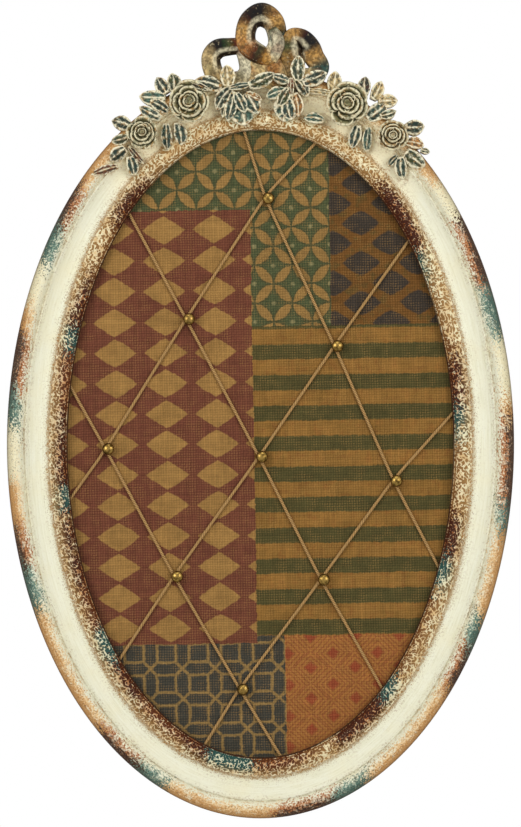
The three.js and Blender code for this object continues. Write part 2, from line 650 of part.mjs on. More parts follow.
/** One leaf: a ridged blade with upright sides that go back to the crest's rear. */
function leaf([baseX, baseZ, tipX, tipZ, widthShare, overBow = 0], middle, lift, grow) {
  const base = { x: middle.x + MOULDING_WIDTH * baseX, z: middle.z + MOULDING_WIDTH * baseZ };
  const tip = { x: middle.x + MOULDING_WIDTH * tipX, z: middle.z + MOULDING_WIDTH * tipZ };
  const length = Math.hypot(tip.x - base.x, tip.z - base.z);
  const side = { x: -(tip.z - base.z) / length, z: (tip.x - base.x) / length };
  const ahead = { x: (tip.x - base.x) / length, z: (tip.z - base.z) / length };
  const halfWidth = (MOULDING_WIDTH * widthShare) / 2;
  const rise = lift + LEAF_RISE_OVER_BOW * overBow;
  const back = (overBow ? BOW_DEPTH : crestBack) - grow;
  const rings = LEAF_STATION_SHARES.map(([along, width, ridge], i) => {
    const overrun = grow * ((i > 0 ? 1 : 0) - (i === 0 ? 1 : 0));
    const x = base.x + ahead.x * (length * along + overrun);
    const z = base.z + ahead.z * (length * along + overrun);
    const spread = halfWidth * width + grow;
    const ridgeDepth = bedDepth(x, z) + rise + LEAF_RIDGE_HEIGHT * ridge + grow;
    const edge = (sign) => ({ x: x + side.x * spread * sign, z: z + side.z * spread * sign });
    const edgeDepth = bedDepth(x, z) + rise + LEAF_EDGE_HEIGHT + grow;
    const left = edge(-1);
    const right = edge(1);
    return [
      at(left.x, back, left.z),
      at(left.x, edgeDepth, left.z),
      at(x, ridgeDepth, z),
      at(right.x, edgeDepth, right.z),
      at(right.x, back, right.z),
    ];
  });
  return toSolid(loft(rings));
}

/** A flat-faced oval ground that joins the leaves of a spray. */
function ground(middle, halfWidth, halfHeight, frontDepth) {
  const ringAt = (depth) => Array.from({ length: ROSE_SEGMENTS }, (_, j) => {
    const angle = (j / ROSE_SEGMENTS) * 2 * Math.PI;
    return at(middle.x + halfWidth * Math.cos(angle), depth, middle.z + halfHeight * Math.sin(angle));
  });
  return toSolid(loft([ringAt(crestBack), ringAt(frontDepth)]));
}

/** A ribbon loop of the bow, wider than deep, along a closed middle line. */
function ribbonLoop(loop, foot, grow) {
  const curve = new THREE.CatmullRomCurve3(loop.points.map(([x, z, width]) => new THREE.Vector3(
    BOW_OFFSET + BOW_WIDTH * x,
    RIBBON_WIDTH * width,
    foot + BOW_HEIGHT * z,
  )), true);
  const middleDepth = BOW_DEPTH + RIBBON_THICKNESS * loop.depthShare;
  const stations = loop.points.length * RIBBON_STEPS;
  const rings = Array.from({ length: stations }, (_, i) => {
    const share = i / stations;
    const point = curve.getPoint(share);
    const along = curve.getTangent(share).setY(0).normalize();
    const halfWidth = point.y / 2 + grow;
    const halfDepth = RIBBON_THICKNESS / 2 + grow;
    return RIBBON_SECTION_SHARES.map(([across, forward]) => at(
      point.x + along.z * halfWidth * across,
      middleDepth + halfDepth * forward,
      point.z - along.x * halfWidth * across,
    ));
  });
  return toSolid(loft(rings, true));
}

/** The whole bow, or its cutting shape when grown. */
function bowSolid(grow) {
  const foot = outerHalfHeight - BOW_LAP;
  const knotX = BOW_OFFSET + BOW_WIDTH * BOW_KNOT.place[0];
  const knotZ = foot + BOW_HEIGHT * BOW_KNOT.place[1];
  const knot = loft(KNOT_RING_SHARES.map(([reach, forward]) =>
    Array.from({ length: KNOT_SEGMENTS }, (_, j) => {
      const angle = (j / KNOT_SEGMENTS) * 2 * Math.PI;
      return at(
        knotX + (BOW_WIDTH * BOW_KNOT.halfWidthShare * reach + grow) * Math.cos(angle),
        BOW_DEPTH + (RIBBON_THICKNESS / 2) * forward + grow * Math.sign(forward),
        knotZ + (BOW_HEIGHT * BOW_KNOT.halfHeightShare * reach + grow) * Math.sin(angle),
      );
    })));
  return BOW_LOOPS.reduce((solid, loop) => solid.add(ribbonLoop(loop, foot, grow)), toSolid(knot));
}

/** A spray's leaves and ground in one solid. */
function spraySolid(name, grow) {
  const isCentre = name === 'leaf_spray_centre';
  const rose = ROSES.find((spec) => spec.name === name.replace('leaf_spray', 'rose'));
  const spec = isCentre ? CENTRE_GROUND : rose;
  const middle = crestPlace(spec.place);
  const radius = isCentre ? 0 : MOULDING_WIDTH * rose.radiusShare * CALYX_SHARE;
  const halfWidth = (isCentre ? MOULDING_WIDTH * spec.halfWidthShare : radius) + grow;
  const halfHeight = (isCentre ? MOULDING_WIDTH * spec.halfHeightShare : radius) + grow;
  const front = (isCentre ? crestPlane + CENTRE_RISE : crestPlane) + grow;
  const lift = isCentre ? CENTRE_RISE : 0;
  return LEAF_TABLES[name].reduce((solid, row) => solid.add(leaf(row, middle, lift, grow)),
    ground(middle, halfWidth, halfHeight, front));
}

const rosePlane = crestPlane + SEAT_GAP;
const bloomPlane = rosePlane + CENTRE_RISE;
const flowerParts = [
  ...ROSES.map((spec) => ({ spec, shares: ROSE_RING_SHARES, plane: rosePlane, height: ROSE_HEIGHT })),
  ...BLOOMS.map((spec) => ({ spec, shares: BLOOM_RING_SHARES, plane: bloomPlane, height: BLOOM_HEIGHT })),
];
const flowerSeats = flowerParts.map(({ spec, shares, plane, height }) =>
  toSolid(flower(spec, shares, plane, height, SEAT_GAP)));
const bowSeat = bowSolid(SEAT_GAP);
const spraySeats = [];

add('crest_bow', toBody(bowSolid(0).subtract(seatRing)), finish('#b08a4e', 0.6, 0));
Object.keys(LEAF_TABLES).forEach((name) => {
  const cuts = [seatRing, bowSeat, ...flowerSeats, ...spraySeats];
  const spray = cuts.reduce((solid, cut) => solid.subtract(cut), spraySolid(name, 0));
  spraySeats.push(spraySolid(name, SEAT_GAP));
  add(name, toBody(spray), finish('#4f6b57', 0.65, 0));
});
flowerParts.forEach(({ spec, shares, plane, height }, i) => {
  const whole = toSolid(flower(spec, shares, plane, height, 0));
  const body = flowerSeats.slice(0, i).reduce((solid, cut) => solid.subtract(cut), whole);
  add(spec.name, toBody(body), finish('#d8c89c', 0.6, 0));
});

// Turn buttons and their screws

/** A pan-head screw with a slot, its head behind the rear face and its shank going forward. */
function screw(headBack) {
  const headRadius = SCREW_HEAD_DIAMETER / 2;
  const radius = SCREW_SHANK_DIAMETER / 2;
  const crown = headBack + SCREW_HEAD_HEIGHT;
  const body = turned([
    [0, -crown],
    [headRadius / 2, -crown],
    [headRadius, -headBack - SCREW_HEAD_HEIGHT / 3],
    [headRadius, -headBack],
    [radius, -headBack],
    [radius, SCREW_LENGTH - SCREW_SHANK_DIAMETER],
    [0, SCREW_LENGTH],
  ], SCREW_SEGMENTS);
  const slot = new THREE.BoxGeometry(SCREW_HEAD_DIAMETER * 2, SCREW_SLOT_DEPTH * 2, SCREW_SLOT_WIDTH);
  slot.translate(0, crown, 0);
  return toBody(toSolid(body).subtract(toSolid(closedBody(slot))));
}

/** A flat button with round ends and a hole for its screw. */
function turnButton() {
  const radius = BUTTON_WIDTH / 2;
  const shape = new THREE.Shape();
  shape.absarc(0, BUTTON_LENGTH - BUTTON_REACH - radius, radius, 0, Math.PI, false);
  shape.absarc(0, radius - BUTTON_REACH, radius, Math.PI, 2 * Math.PI, false);
  const hole = new THREE.Path();
  hole.absarc(0, 0, SCREW_SHANK_DIAMETER / 2 + SEAT_GAP, 0, 2 * Math.PI, true);
  shape.holes.push(hole);
  const plate = new THREE.ExtrudeGeometry(shape, {
    depth: BUTTON_THICKNESS,
    bevelEnabled: false,
    curveSegments: BUTTON_END_SEGMENTS,
  });
  plate.rotateX(Math.PI / 2);
  plate.translate(0, SEAT_GAP + BUTTON_THICKNESS, 0);
  return closedBody(plate);
}

BUTTON_ANGLES.forEach((degrees, i) => {
  const across = rebate + SCREW_SETBACK;
  const place = onOval(radians(degrees), across);
  const pivot = new THREE.Group();
  pivot.position.set(place.x, 0, place.z);
  pivot.rotation.y = headingAt(radians(degrees), across);
  group.add(pivot);
  add(`turn_button_${i + 1}`, turnButton(), finish('#b9a368', 0.4, 1), pivot);
  const headBack = BUTTON_THICKNESS + SEAT_GAP + SEAT_GAP;
  add(`turn_button_screw_${i + 1}`, screw(headBack), finish('#b8b4a8', 0.35, 1), pivot);
});

// Hangers: a strap with a rolled eye, its loop and its screw

const eyeBore = LOOP_WIRE_DIAMETER / 2 + SEAT_GAP;
const eyeRadius = eyeBore + STRAP_THICKNESS;
const eyeBack = SEAT_GAP + eyeRadius;

/** The strap's side view drawn out to its width, with its screw hole. */
function hangerStrap() {
  const rear = SEAT_GAP + STRAP_THICKNESS;
  const meeting = Math.sqrt(eyeRadius ** 2 - (eyeRadius - STRAP_THICKNESS) ** 2);
  const shape = new THREE.Shape();
  shape.moveTo(-STRAP_LENGTH, SEAT_GAP);
  shape.lineTo(0, SEAT_GAP);
  const lastAngle = Math.atan2(rear - eyeBack, -meeting) + 2 * Math.PI;
  shape.absarc(0, eyeBack, eyeRadius, -Math.PI / 2, lastAngle, false);
  shape.lineTo(-STRAP_LENGTH, rear);
  const bore = new THREE.Path();
  bore.absarc(0, eyeBack, eyeBore, 0, 2 * Math.PI, true);
  shape.holes.push(bore);
  const strap = new THREE.ExtrudeGeometry(shape, {
    depth: STRAP_WIDTH,
    bevelEnabled: false,
    curveSegments: EYE_SEGMENTS,
  });
  strap.translate(0, 0, -STRAP_WIDTH / 2);
  strap.rotateY(-Math.PI / 2);
  const holeDiameter = SCREW_SHANK_DIAMETER + SEAT_GAP + SEAT_GAP;
  const hole = pin(0, -STRAP_SCREW_DROP, holeDiameter, -eyeBack, SEAT_GAP, HOLE_SIDES);
  return toBody(toSolid(closedBody(strap)).subtract(hole));
}

/** The wire loop, hanging from its bar in the eye. */
function hangerLoop() {
  const path = LOOP_SHARES.map(([x, drop]) => at(LOOP_HALF_WIDTH * x, -eyeBack, -LOOP_DROP * drop));
  return tube(path, LOOP_WIRE_DIAMETER, TWINE_SIDES, true);
}

Object.entries(HANGER_ANGLES).forEach(([side, degrees]) => {
  const place = onOval(radians(degrees), MOULDING_WIDTH * HARDWARE_SHARE);
  const hanger = new THREE.Group();
  hanger.position.set(place.x, 0, place.z);
  group.add(hanger);
  add(`hanger_strap_${side}`, hangerStrap(), finish('#b4b2aa', 0.35, 1), hanger);
  add(`hanger_loop_${side}`, hangerLoop(), finish('#b4b2aa', 0.3, 1), hanger);
  const headBack = STRAP_THICKNESS + SEAT_GAP + SEAT_GAP;
  const strapScrew = add(`hanger_screw_${side}`, screw(headBack), finish('#b8b4a8', 0.35, 1), hanger);
  strapScrew.position.z = -STRAP_SCREW_DROP;
});

// Wall bumpers

Object.entries(BUMPER_ANGLES).forEach(([side, degrees]) => {
  const place = onOval(radians(degrees), MOULDING_WIDTH * HARDWARE_SHARE);
  const radius = BUMPER_DIAMETER / 2;
  const back = SEAT_GAP + BUMPER_HEIGHT;
  const bumper = turned([
    [0, -SEAT_GAP],
    [radius, -SEAT_GAP],
    [radius, BUMPER_CHAMFER - back],
    [radius - BUMPER_CHAMFER, -back],
    [0, -back],
  ], BUMPER_SEGMENTS);
  const foot = add(`wall_bumper_${side}`, bumper, finish('#3a3a38', 0.85, 0));
  foot.position.set(place.x, 0, place.z);
});

export default group;
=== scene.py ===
"""Oval pin board: a cast, antiqued frame with a rose and bow crest round a padded board.

The board is covered in printed burlap and carries a lattice of jute twine under brass dome
tacks. Turn buttons hold its back panel, and two loop hangers and two bumpers are on the back.
Lengths are in millimetres up to the function `at`, which gives the frame's metres.
"""
import logging
import math
import random
from dataclasses import dataclass
from enum import Enum
from functools import partial
from typing import Callable, Sequence

import bmesh
import bpy
import numpy as np
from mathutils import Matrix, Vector, noise


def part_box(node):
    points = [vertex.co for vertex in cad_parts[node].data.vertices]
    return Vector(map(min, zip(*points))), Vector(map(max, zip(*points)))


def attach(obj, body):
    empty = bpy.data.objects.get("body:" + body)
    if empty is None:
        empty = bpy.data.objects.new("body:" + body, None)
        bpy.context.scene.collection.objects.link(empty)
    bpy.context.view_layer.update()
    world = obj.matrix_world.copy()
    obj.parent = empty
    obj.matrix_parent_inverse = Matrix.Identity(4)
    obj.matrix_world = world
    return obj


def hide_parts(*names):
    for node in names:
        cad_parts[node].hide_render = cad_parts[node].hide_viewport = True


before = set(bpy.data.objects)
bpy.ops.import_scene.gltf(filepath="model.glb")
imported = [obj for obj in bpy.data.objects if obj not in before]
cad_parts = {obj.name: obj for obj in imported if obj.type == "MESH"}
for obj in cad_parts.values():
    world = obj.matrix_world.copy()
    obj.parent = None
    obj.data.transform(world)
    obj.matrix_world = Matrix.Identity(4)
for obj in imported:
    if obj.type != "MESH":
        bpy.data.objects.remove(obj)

log = logging.getLogger("pin_board")

MM = 0.001
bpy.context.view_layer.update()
FIXED_BODY = "frame"

# Sight opening and section of the moulding, as depths in front of the wall side
SIGHT_HALF_WIDTH = 154.6
SIGHT_HALF_HEIGHT = 251.4
MOULDING_WIDTH = 48.6
LIP_BACK = 15.5
LIP_FRONT = 17.9
RELIEF = 10.7
REBATE = 10.1
OUTER_HALF_WIDTH = SIGHT_HALF_WIDTH + MOULDING_WIDTH
OUTER_HALF_HEIGHT = SIGHT_HALF_HEIGHT + MOULDING_WIDTH

# Board, as depths in front of the wall side
PANEL_FRONT = 2.5
HEM_BACK = 2.8
CORE_BACK = 3.7
CORE_FRONT = 8.7
FOAM_BACK = 9.0
FOAM_FRONT = 11.5
CLOTH_BACK = 11.8
CLOTH_FRONT = 12.4
BOARD_OVERLAP = 6.4
CORE_OVERLAP = 5.5
CREST_PLANE = 31.2
CREST_BACK = 16.7

# Vertices closer than this, in metres, are one
DOUBLES = 1e-6

Pair = tuple[float, float]
BMesh = bmesh.types.BMesh
Node = bpy.types.Node
Adder = Callable[..., Node]


class Hue(Enum):
    """Paints, dyes and metals of the board, by name."""

    CREAM = "#ddd3ad"
    BUFF = "#cdb27c"
    GOLD = "#b98d4e"
    OCHRE = "#b47c42"
    RUST = "#6f3a20"
    BROWN = "#381c10"
    # Umber also gives the painted shade on the leaves' side walls and in the bow's holes
    UMBER = "#1f1710"
    TEAL = "#2b4841"
    PALE_TEAL = "#4f6e60"
    OLIVE = "#3f4527"
    GREEN = "#1d2f28"
    PEARL = "#d8ceac"
    KNOT_BROWN = "#9c6c3a"

    def light(self) -> Vector:
        """Give the hue in linear light."""
        return Vector(linear(self.value)[:3])


def linear(code: str) -> tuple[float, float, float, float]:
    """Turn an sRGB hex colour into linear light.

    Args:
        code: colour as #rrggbb.

    Returns:
        The linear red, green and blue, and 1 for alpha.
    """
    parts = [int(code[i : i + 2], 16) / 255 for i in (1, 3, 5)]
    light = [p / 12.92 if p <= 0.04045 else ((p + 0.055) / 1.055) ** 2.4 for p in parts]
    return (*light, 1.0)


def at(x: float, depth: float, z: float) -> Vector:
    """Give the frame's point for a width, a depth in front of the wall side and a height."""
    return Vector((x, -depth, z)) * MM


def ease(low: float, high: float, value: float) -> float:
    """Give a smooth 0 to 1 as a value goes from low to high."""
    share = min(max((value - low) / (high - low), 0.0), 1.0)
    return share * share * (3 - 2 * share)


def read_shares(table: Sequence[Pair], share: float) -> float:
    """Read a value off a table of pairs, straight between its rows."""
    return float(np.interp(share, [row[0] for row in table], [row[1] for row in table]))


def turn_at(step: int, steps: int) -> float:
    """Give the angle of a step on a whole turn, where the step after the last is the first."""
    return 2 * math.pi * (step % steps) / steps


def on_oval(angle: float, across: float) -> Pair:
    """Give the place on the oval that lies across outside the sight edge, clockwise from the top.

    Args:
        angle: turn from the top, in radians.
        across: distance outside the sight edge.

    Returns:
        The sideways and upward place in millimetres.
    """
    return (
        (SIGHT_HALF_WIDTH + across) * math.sin(angle),
        (SIGHT_HALF_HEIGHT + across) * math.cos(angle),
    )


def across_at(x: float, z: float) -> float:
    """Give how far outside the sight edge a place lies, found by halving.

    Args:
        x: sideways place in millimetres.
        z: upward place in millimetres.

    Returns:
        The distance in millimetres, below 0 inside the edge.
    """
    low, high = -SIGHT_HALF_WIDTH + 0.01, SIGHT_HALF_WIDTH
    for _ in range(32):
        middle = (low + high) / 2
        size = (x / (SIGHT_HALF_WIDTH + middle)) ** 2 + (z / (SIGHT_HALF_HEIGHT + middle)) ** 2
        low, high = (middle, high) if size > 1 else (low, middle)
    return (low + high) / 2


def smooth_line(stops: Sequence[Sequence[float]], pieces: int, closed: bool = False) -> list:
    """Run a smooth line through stops of any number of values.

    Args:
        stops: the values that the line goes through.
        pieces: steps from one stop to the next.
        closed: whether it comes back to its start.

    Returns:
        The points of the line, without a repeat of the first where it is closed.
    """
    count = len(stops)
    values = np.array(stops, float)
    line = []
    for i in range(count if closed else count - 1):
        near = [i - 1, i, i + 1, i + 2]
        if closed:
            near = [n % count for n in near]
        p0, p1, p2, p3 = values[np.clip(near, 0, count - 1)]
        for step in range(pieces):
            t = step / pieces
            line.append(
                0.5
                * (
                    2 * p1
                    + (p2 - p0) * t
                    + (2 * p0 - 5 * p1 + 4 * p2 - p3) * t**2
                    + (3 * p1 - p0 - 3 * p2 + p3) * t**3
                )
            )
    if not closed:
        line.append(values[-1])
    return line


# Mesh helpers


def grid_of(bm: BMesh, across: int, along: int, place: Callable[[int, int], Vector]) -> list:
    """Make a grid and bend it to its places.

    Args:
        bm: mesh that takes the grid.
        across: steps across a row.
        along: steps from row to row.
        place: gives the point for a step across and a step along.

    Returns:
        The rows of vertices.
    """
    made = bmesh.ops.create_grid(bm, x_segments=across, y_segments=along, size=1.0)["verts"]
    rows = [made[row * (across + 1) : (row + 1) * (across + 1)] for row in range(along + 1)]
    for row, verts in enumerate(rows):
        for column, vert in enumerate(verts):
            vert.co = place(column, row)
    return rows


def close_up(
    bm: BMesh, fill: bool = False, outwards: bool = True, apart: float = DOUBLES
) -> None:
    """Merge the doubles of a mesh in the making, then fill its rims and turn its faces as asked.

    Args:
        bm: mesh to close up.
        fill: whether its open rims are filled.
        outwards: whether its faces are turned outwards.
        apart: vertices closer than this, in metres, are merged.
    """
    bmesh.ops.remove_doubles(bm, verts=bm.verts, dist=apart)
    if fill:
        bmesh.ops.holes_fill(bm, edges=[edge for edge in bm.edges if edge.is_boundary], sides=0)
    if outwards:
        bmesh.ops.recalc_face_normals(bm, faces=bm.faces)


def turned(points: Sequence[Pair], steps: int, outwards: bool = True) -> BMesh:
    """Spin an outline of radius and depth round the line that runs front to back.

    Args:
        points: radius and depth of each corner, in millimetres.
        steps: steps in the whole turn.
        outwards: whether its faces are turned outwards at once.

    Returns:
        A mesh with its doubles merged.
    """
    bm = bmesh.new()
    verts = [bm.verts.new(at(radius, depth, 0)) for radius, depth in points]
    edges = [bm.edges.new(pair) for pair in zip(verts, verts[1:])]
    bmesh.ops.spin(
        bm,
        geom=verts + edges,
        cent=(0, 0, 0),
        axis=(0, 1, 0),
        angle=2 * math.pi,
        steps=steps,
        use_merge=True,
        use_duplicate=False,
    )
    close_up(bm, outwards=outwards)
    return bm


def mark_hollows(mesh: bpy.types.Mesh, rounds: int, depth: float) -> None:
    """Store how far each vertex lies under its neighbourhood, from -1 on an edge to 1 in a groove.

    Args:
        mesh: finished mesh.
        rounds: how many times the neighbourhood is smoothed, which sets its reach.
        depth: depth in millimetres that counts as a full hollow.
    """
    count = len(mesh.vertices)
    co = np.empty(count * 3)
    mesh.vertices.foreach_get("co", co)
    co = co.reshape(-1, 3)
    normals = np.empty(count * 3)
    mesh.vertex_normals.foreach_get("vector", normals)
    ends = np.empty(len(mesh.edges) * 2, int)
    mesh.edges.foreach_get("vertices", ends)
    ends = ends.reshape(-1, 2)
    degree = np.maximum(np.bincount(ends.ravel(), minlength=count), 1)[:, None]
    smooth = co.copy()
    for _ in range(rounds):
        total = np.zeros_like(smooth)
        np.add.at(total, ends[:, 0], smooth[ends[:, 1]])
        np.add.at(total, ends[:, 1], smooth[ends[:, 0]])
        smooth = total / degree
    rise = ((smooth - co) * normals.reshape(-1, 3)).sum(1) / (depth * MM)
    layer = mesh.attributes.new("hollow", "FLOAT", "POINT")
    layer.data.foreach_set("value", np.clip(rise, -1, 1).astype(np.float32))


def piece(
    name: str,
    bm: BMesh,
    finish: "Finish",
    nodes: Sequence[str],
    body: str = FIXED_BODY,
    hollows: tuple[int, float] | None = None,
) -> bpy.types.Object:
    """Turn a mesh in the making into a finished piece on its body.

    Args:
        name: name of the piece.
        bm: its mesh, which is used up.
        finish: what it is painted, dyed or plated with.
        nodes: the plain solids that it stands for.
        body: the moving or fixed body that it rides on.
        hollows: rounds and depth for the hollow marks, where its finish reads them.

    Returns:
        The new object.
    """
    mesh = bpy.data.meshes.new(name)
    bm.to_mesh(mesh)
    bm.free()
    mesh.shade_smooth()
    if hollows:
        mark_hollows(mesh, *hollows)
    obj = bpy.data.objects.new(name, mesh)
    bpy.context.scene.collection.objects.link(obj)
    mesh.materials.append(finish.material())
    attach(obj, body)
    if nodes:
        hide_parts(*nodes)
    log.info("%s: %d faces", name, len(mesh.polygons))
    return obj


# Finishes

# Paint of each kind of patch: outside and further in on the rim, and on ridges and in cuts of the band. The
# outer paints are darker copies, partly painted shade of the rim's outer slope
RIM_OUTER_SHADED = {Hue.OCHRE: "#bf8d53", Hue.CREAM: "#dcd1ab", Hue.BROWN: "#34180b", Hue.TEAL: "#3b5c53"}
RIM_INNER = {Hue.OCHRE: "#dfbe8d", Hue.CREAM: "#e6dfbe", Hue.BROWN: "#ad6733", Hue.TEAL: "#69897b"}
BAND_RIDGE = {Hue.OCHRE: "#cfa468", Hue.BROWN: "#9a5a2a", Hue.TEAL: "#ccd0b4", Hue.RUST: "#b67741"}
BAND_CUT = {Hue.OCHRE: "#6a421f", Hue.BROWN: "#3d1b0b", Hue.TEAL: "#2a4a44", Hue.RUST: "#532a12"}


def node(tree: bpy.types.NodeTree, kind: str, *values: object, **settings: object) -> Node:
    """Add one node with its settings and links.

    Args:
        tree: node tree that takes it.
        kind: its type, without the common first word, and after a full stop its operation.
        values: what goes to its inputs, in their order or as one table by their names: a node,
            a socket, a hex colour or a plain value, and None to leave one as it is.
        settings: its own properties; stops fills a ramp, and a mix is of colours unless data_type
            says otherwise.

    Returns:
        The new node.
    """
    kind, _, operation = kind.partition(".")
    made = tree.nodes.new("ShaderNode" + kind)
    if operation:
        made.operation = operation
    if kind == "Mix":
        settings.setdefault("data_type", "RGBA")
    stops = settings.pop("stops", ())
    for name, value in settings.items():
        setattr(made, name, value)
    if stops:
        ramp = made.color_ramp
        while len(ramp.elements) < len(stops):
            ramp.elements.new(1.0)
        for element, (position, colour) in zip(ramp.elements, stops):
            element.position = position
            element.color = linear(colour) if isinstance(colour, str) else (*[colour] * 3, 1)
    sockets = [socket for socket in made.inputs if socket.enabled]
    if values and isinstance(values[0], dict):
        named = {socket.name: socket for socket in reversed(sockets)}
        pairs = [(named[name], value) for name, value in values[0].items()]
    else:
        pairs = list(zip(sockets, values))
    for socket, value in pairs:
        if isinstance(value, Node):
            value = next(out for out in value.outputs if out.enabled)
        if isinstance(value, bpy.types.NodeSocket):
            tree.links.new(value, socket)
        elif value is not None:
            socket.default_value = linear(value) if isinstance(value, str) else value
    return made


def seen_rays(add: Adder) -> Node:
    """Give 1 for the rays that show a background: camera, mirror and glass rays.

    Args:
        add: adds a node to the tree.

    Returns:
        A node that gives 0 or 1.
    """
    rays = add("LightPath").outputs
    mirrored = add("Math.MAXIMUM", rays["Is Camera Ray"], rays["Is Glossy Ray"])
    return add("Math.MAXIMUM", mirrored, rays["Is Transmission Ray"])


@dataclass(frozen=True)
class Finish:
    """A finish that is made once as a material and shared by its pieces."""

    name: str

    def material(self) -> bpy.types.Material:
        """Give the finish's material, made at its first use.

        Returns:
            The shared material.
        """
        found = bpy.data.materials.get(self.name)
        if found:
            return found
        made = bpy.data.materials.new(self.name)
        made.use_nodes = True
        made.node_tree.nodes.clear()
        add = partial(node, made.node_tree)
        add("OutputMaterial", {"Surface": self.shade(add)})
        return made

    def shade(self, add: Adder) -> Node:
        """Build the shader; each finish has its own."""
        raise NotImplementedError

    def speckle(
        self,
        add: Adder,
        size: float,
        low: float,
        high: float,
        least: float = 0.0,
        most: float = 1.0,
        detail: float = 3.0,
        grit: float = 0.5,
    ) -> Node:
        """Give soft-edged spots.

        Args:
            add: adds a node to the tree.
            size: size of a spot in millimetres.
            low: noise level at which a spot starts.
            high: noise level at which it is full.
            least: value outside the spots.
            most: value inside them.
            detail: layers of finer noise.
            grit: strength of the finer layers.

        Returns:
            A node that runs from the one value to the other.
        """
        grain = add("TexNoise", add("TexCoord").outputs["Object"], 1 / (size * MM), detail, grit)
        return add("MapRange", grain, low, high, least, most)


@dataclass(frozen=True)
class MouldingPaint(Finish):
    """Cast resin moulding, painted cream, dry-brushed with rust, ochre and teal, and rubbed back.

    The eye sees a satin cream cove with faint streaks, brown glaze left in the pits of the band,
    and ragged patches of other colours round the outer rim.
    """

    # Patches clockwise from the top, each from an angle in degrees up to the next row's
    rim: Sequence[tuple[float, Hue]] = (
        (0, Hue.OCHRE), (44, Hue.CREAM), (51.5, Hue.BROWN), (64.5, Hue.TEAL), (73, Hue.CREAM),
        (82, Hue.OCHRE), (85, Hue.BROWN), (99, Hue.TEAL), (103, Hue.OCHRE), (117, Hue.TEAL),
        (122.5, Hue.BROWN), (131, Hue.OCHRE), (153.5, Hue.TEAL), (163, Hue.BROWN), (177, Hue.OCHRE),
        (201.5, Hue.TEAL), (208.5, Hue.BROWN), (218.5, Hue.OCHRE), (242, Hue.TEAL),
        (249, Hue.BROWN), (257, Hue.OCHRE), (264, Hue.CREAM), (271.5, Hue.TEAL), (278, Hue.BROWN),
        (288, Hue.OCHRE), (292, Hue.CREAM), (299.5, Hue.TEAL), (305.5, Hue.BROWN), (315, Hue.OCHRE),
    )
    band: Sequence[tuple[float, Hue]] = (
        (0, Hue.OCHRE), (35, Hue.BROWN), (50, Hue.TEAL), (56.5, Hue.OCHRE), (72, Hue.BROWN),
        (82.5, Hue.TEAL), (89, Hue.OCHRE), (104, Hue.BROWN), (112.5, Hue.TEAL), (118.5, Hue.OCHRE),
        (138, Hue.TEAL), (144, Hue.BROWN), (160, Hue.OCHRE), (167, Hue.RUST), (181, Hue.TEAL),
        (193, Hue.BROWN), (200, Hue.RUST), (214, Hue.BROWN), (225, Hue.TEAL), (231, Hue.RUST),
        (241, Hue.BROWN), (256, Hue.TEAL), (261.5, Hue.BROWN), (276, Hue.RUST), (287.5, Hue.TEAL),
        (292, Hue.BROWN), (303, Hue.OCHRE), (316, Hue.BROWN), (332, Hue.OCHRE),
    )
    # How much of the band stays dark, clockwise from the top
    band_dark: Sequence[tuple[float, float]] = (
        (0, 0.12), (31, 0.15), (36, 0.95), (48, 0.9), (51, 0.55), (58, 0.25), (68, 0.3), (73, 0.8),
        (82, 0.85), (90, 0.35), (102, 0.4), (106, 0.9), (114, 0.75), (120, 0.45), (137, 0.45),
        (146, 0.95), (158, 0.9), (161, 0.2), (167, 0.6), (182, 0.75), (194, 0.95), (201, 0.55),
        (213, 0.6), (224, 0.7), (242, 0.6), (266, 0.68), (277, 0.55), (293, 0.9), (303, 0.5),
        (314, 0.4), (318, 0.95), (332, 0.15),
    )

    def round_ramp(
        self,
        add: Adder,
        angle: Node,
        rows: Sequence[tuple[float, Hue | float]],
        paints: dict[Hue, str] | None = None,
    ) -> Node:
        """Give the patches' paint, or a share, at an angle.

        Args:
            add: adds a node to the tree.
            angle: runs from 0 to 1 round the frame.
            rows: where each patch starts, in degrees, and its hue or share.
            paints: the paint for each hue; without it the rows give shares.

        Returns:
            A node that gives the paint or the share.
        """
        stops = [(start / 360, paints[value] if paints else value) for start, value in rows]
        made = add("ValToRGB", angle, stops=stops)
        made.color_ramp.interpolation = "CONSTANT" if paints else "LINEAR"
        return made

    def shade(self, add: Adder) -> Node:
        """Build the painted moulding.

        Args:
            add: adds a node to the tree.

        Returns:
            The shader node.
        """
        place = add("TexCoord").outputs["Object"]
        axes = add("SeparateXYZ", place)
        across = add("Attribute", attribute_name="across").outputs["Fac"]
        relief = add("Attribute", attribute_name="worm").outputs["Fac"]
        spots = partial(self.speckle, add, detail=4.0, grit=0.6)

        turn = add(
            "Math.ARCTAN2",
            add("Math.DIVIDE", axes.outputs[0], OUTER_HALF_WIDTH),
            add("Math.DIVIDE", axes.outputs[2], OUTER_HALF_HEIGHT),
        )
        angle = add("Math.FRACT", add("Math.MULTIPLY_ADD", turn, 1 / (2 * math.pi), 1.0))

        # Dry-brushed patches meet in specks: their edges are shaken by about 3 degrees
        fine = add("TexNoise", place, 1 / (1.5 * MM), 3.0, 0.6)
        drift = add("Math.MULTIPLY_ADD", add("TexNoise", place, 1 / (9.0 * MM), 6.0, 0.75), 0.016, -0.008)
        shaken = add("Math.MULTIPLY_ADD", fine, 0.045, add("Math.SUBTRACT", drift, 0.0225))
        wrapped = add("Math.FLOORED_MODULO", add("Math.ADD", angle, shaken), 1.0)

        # Streaks run along the moulding: 25 mm one way and 1.2 mm the other
        lay = add("CombineXYZ", add("Math.MULTIPLY", angle, 60.0), add("Math.MULTIPLY", across, 38.0))
        streak = add("TexNoise", lay, 1.0, 4.0, 0.6)
        cream = add(
            "ValToRGB",
            streak,
            stops=[(0.30, "#d9d7bb"), (0.45, "#e1dfc6"), (0.6, "#e6e5cf"), (0.8, "#dcdcca")],
        )
        cloud = spots(36.0, 0.45, 0.75, 0.0, 0.5)
        warm = add("Mix", cloud, cream, "#e4dbb4")
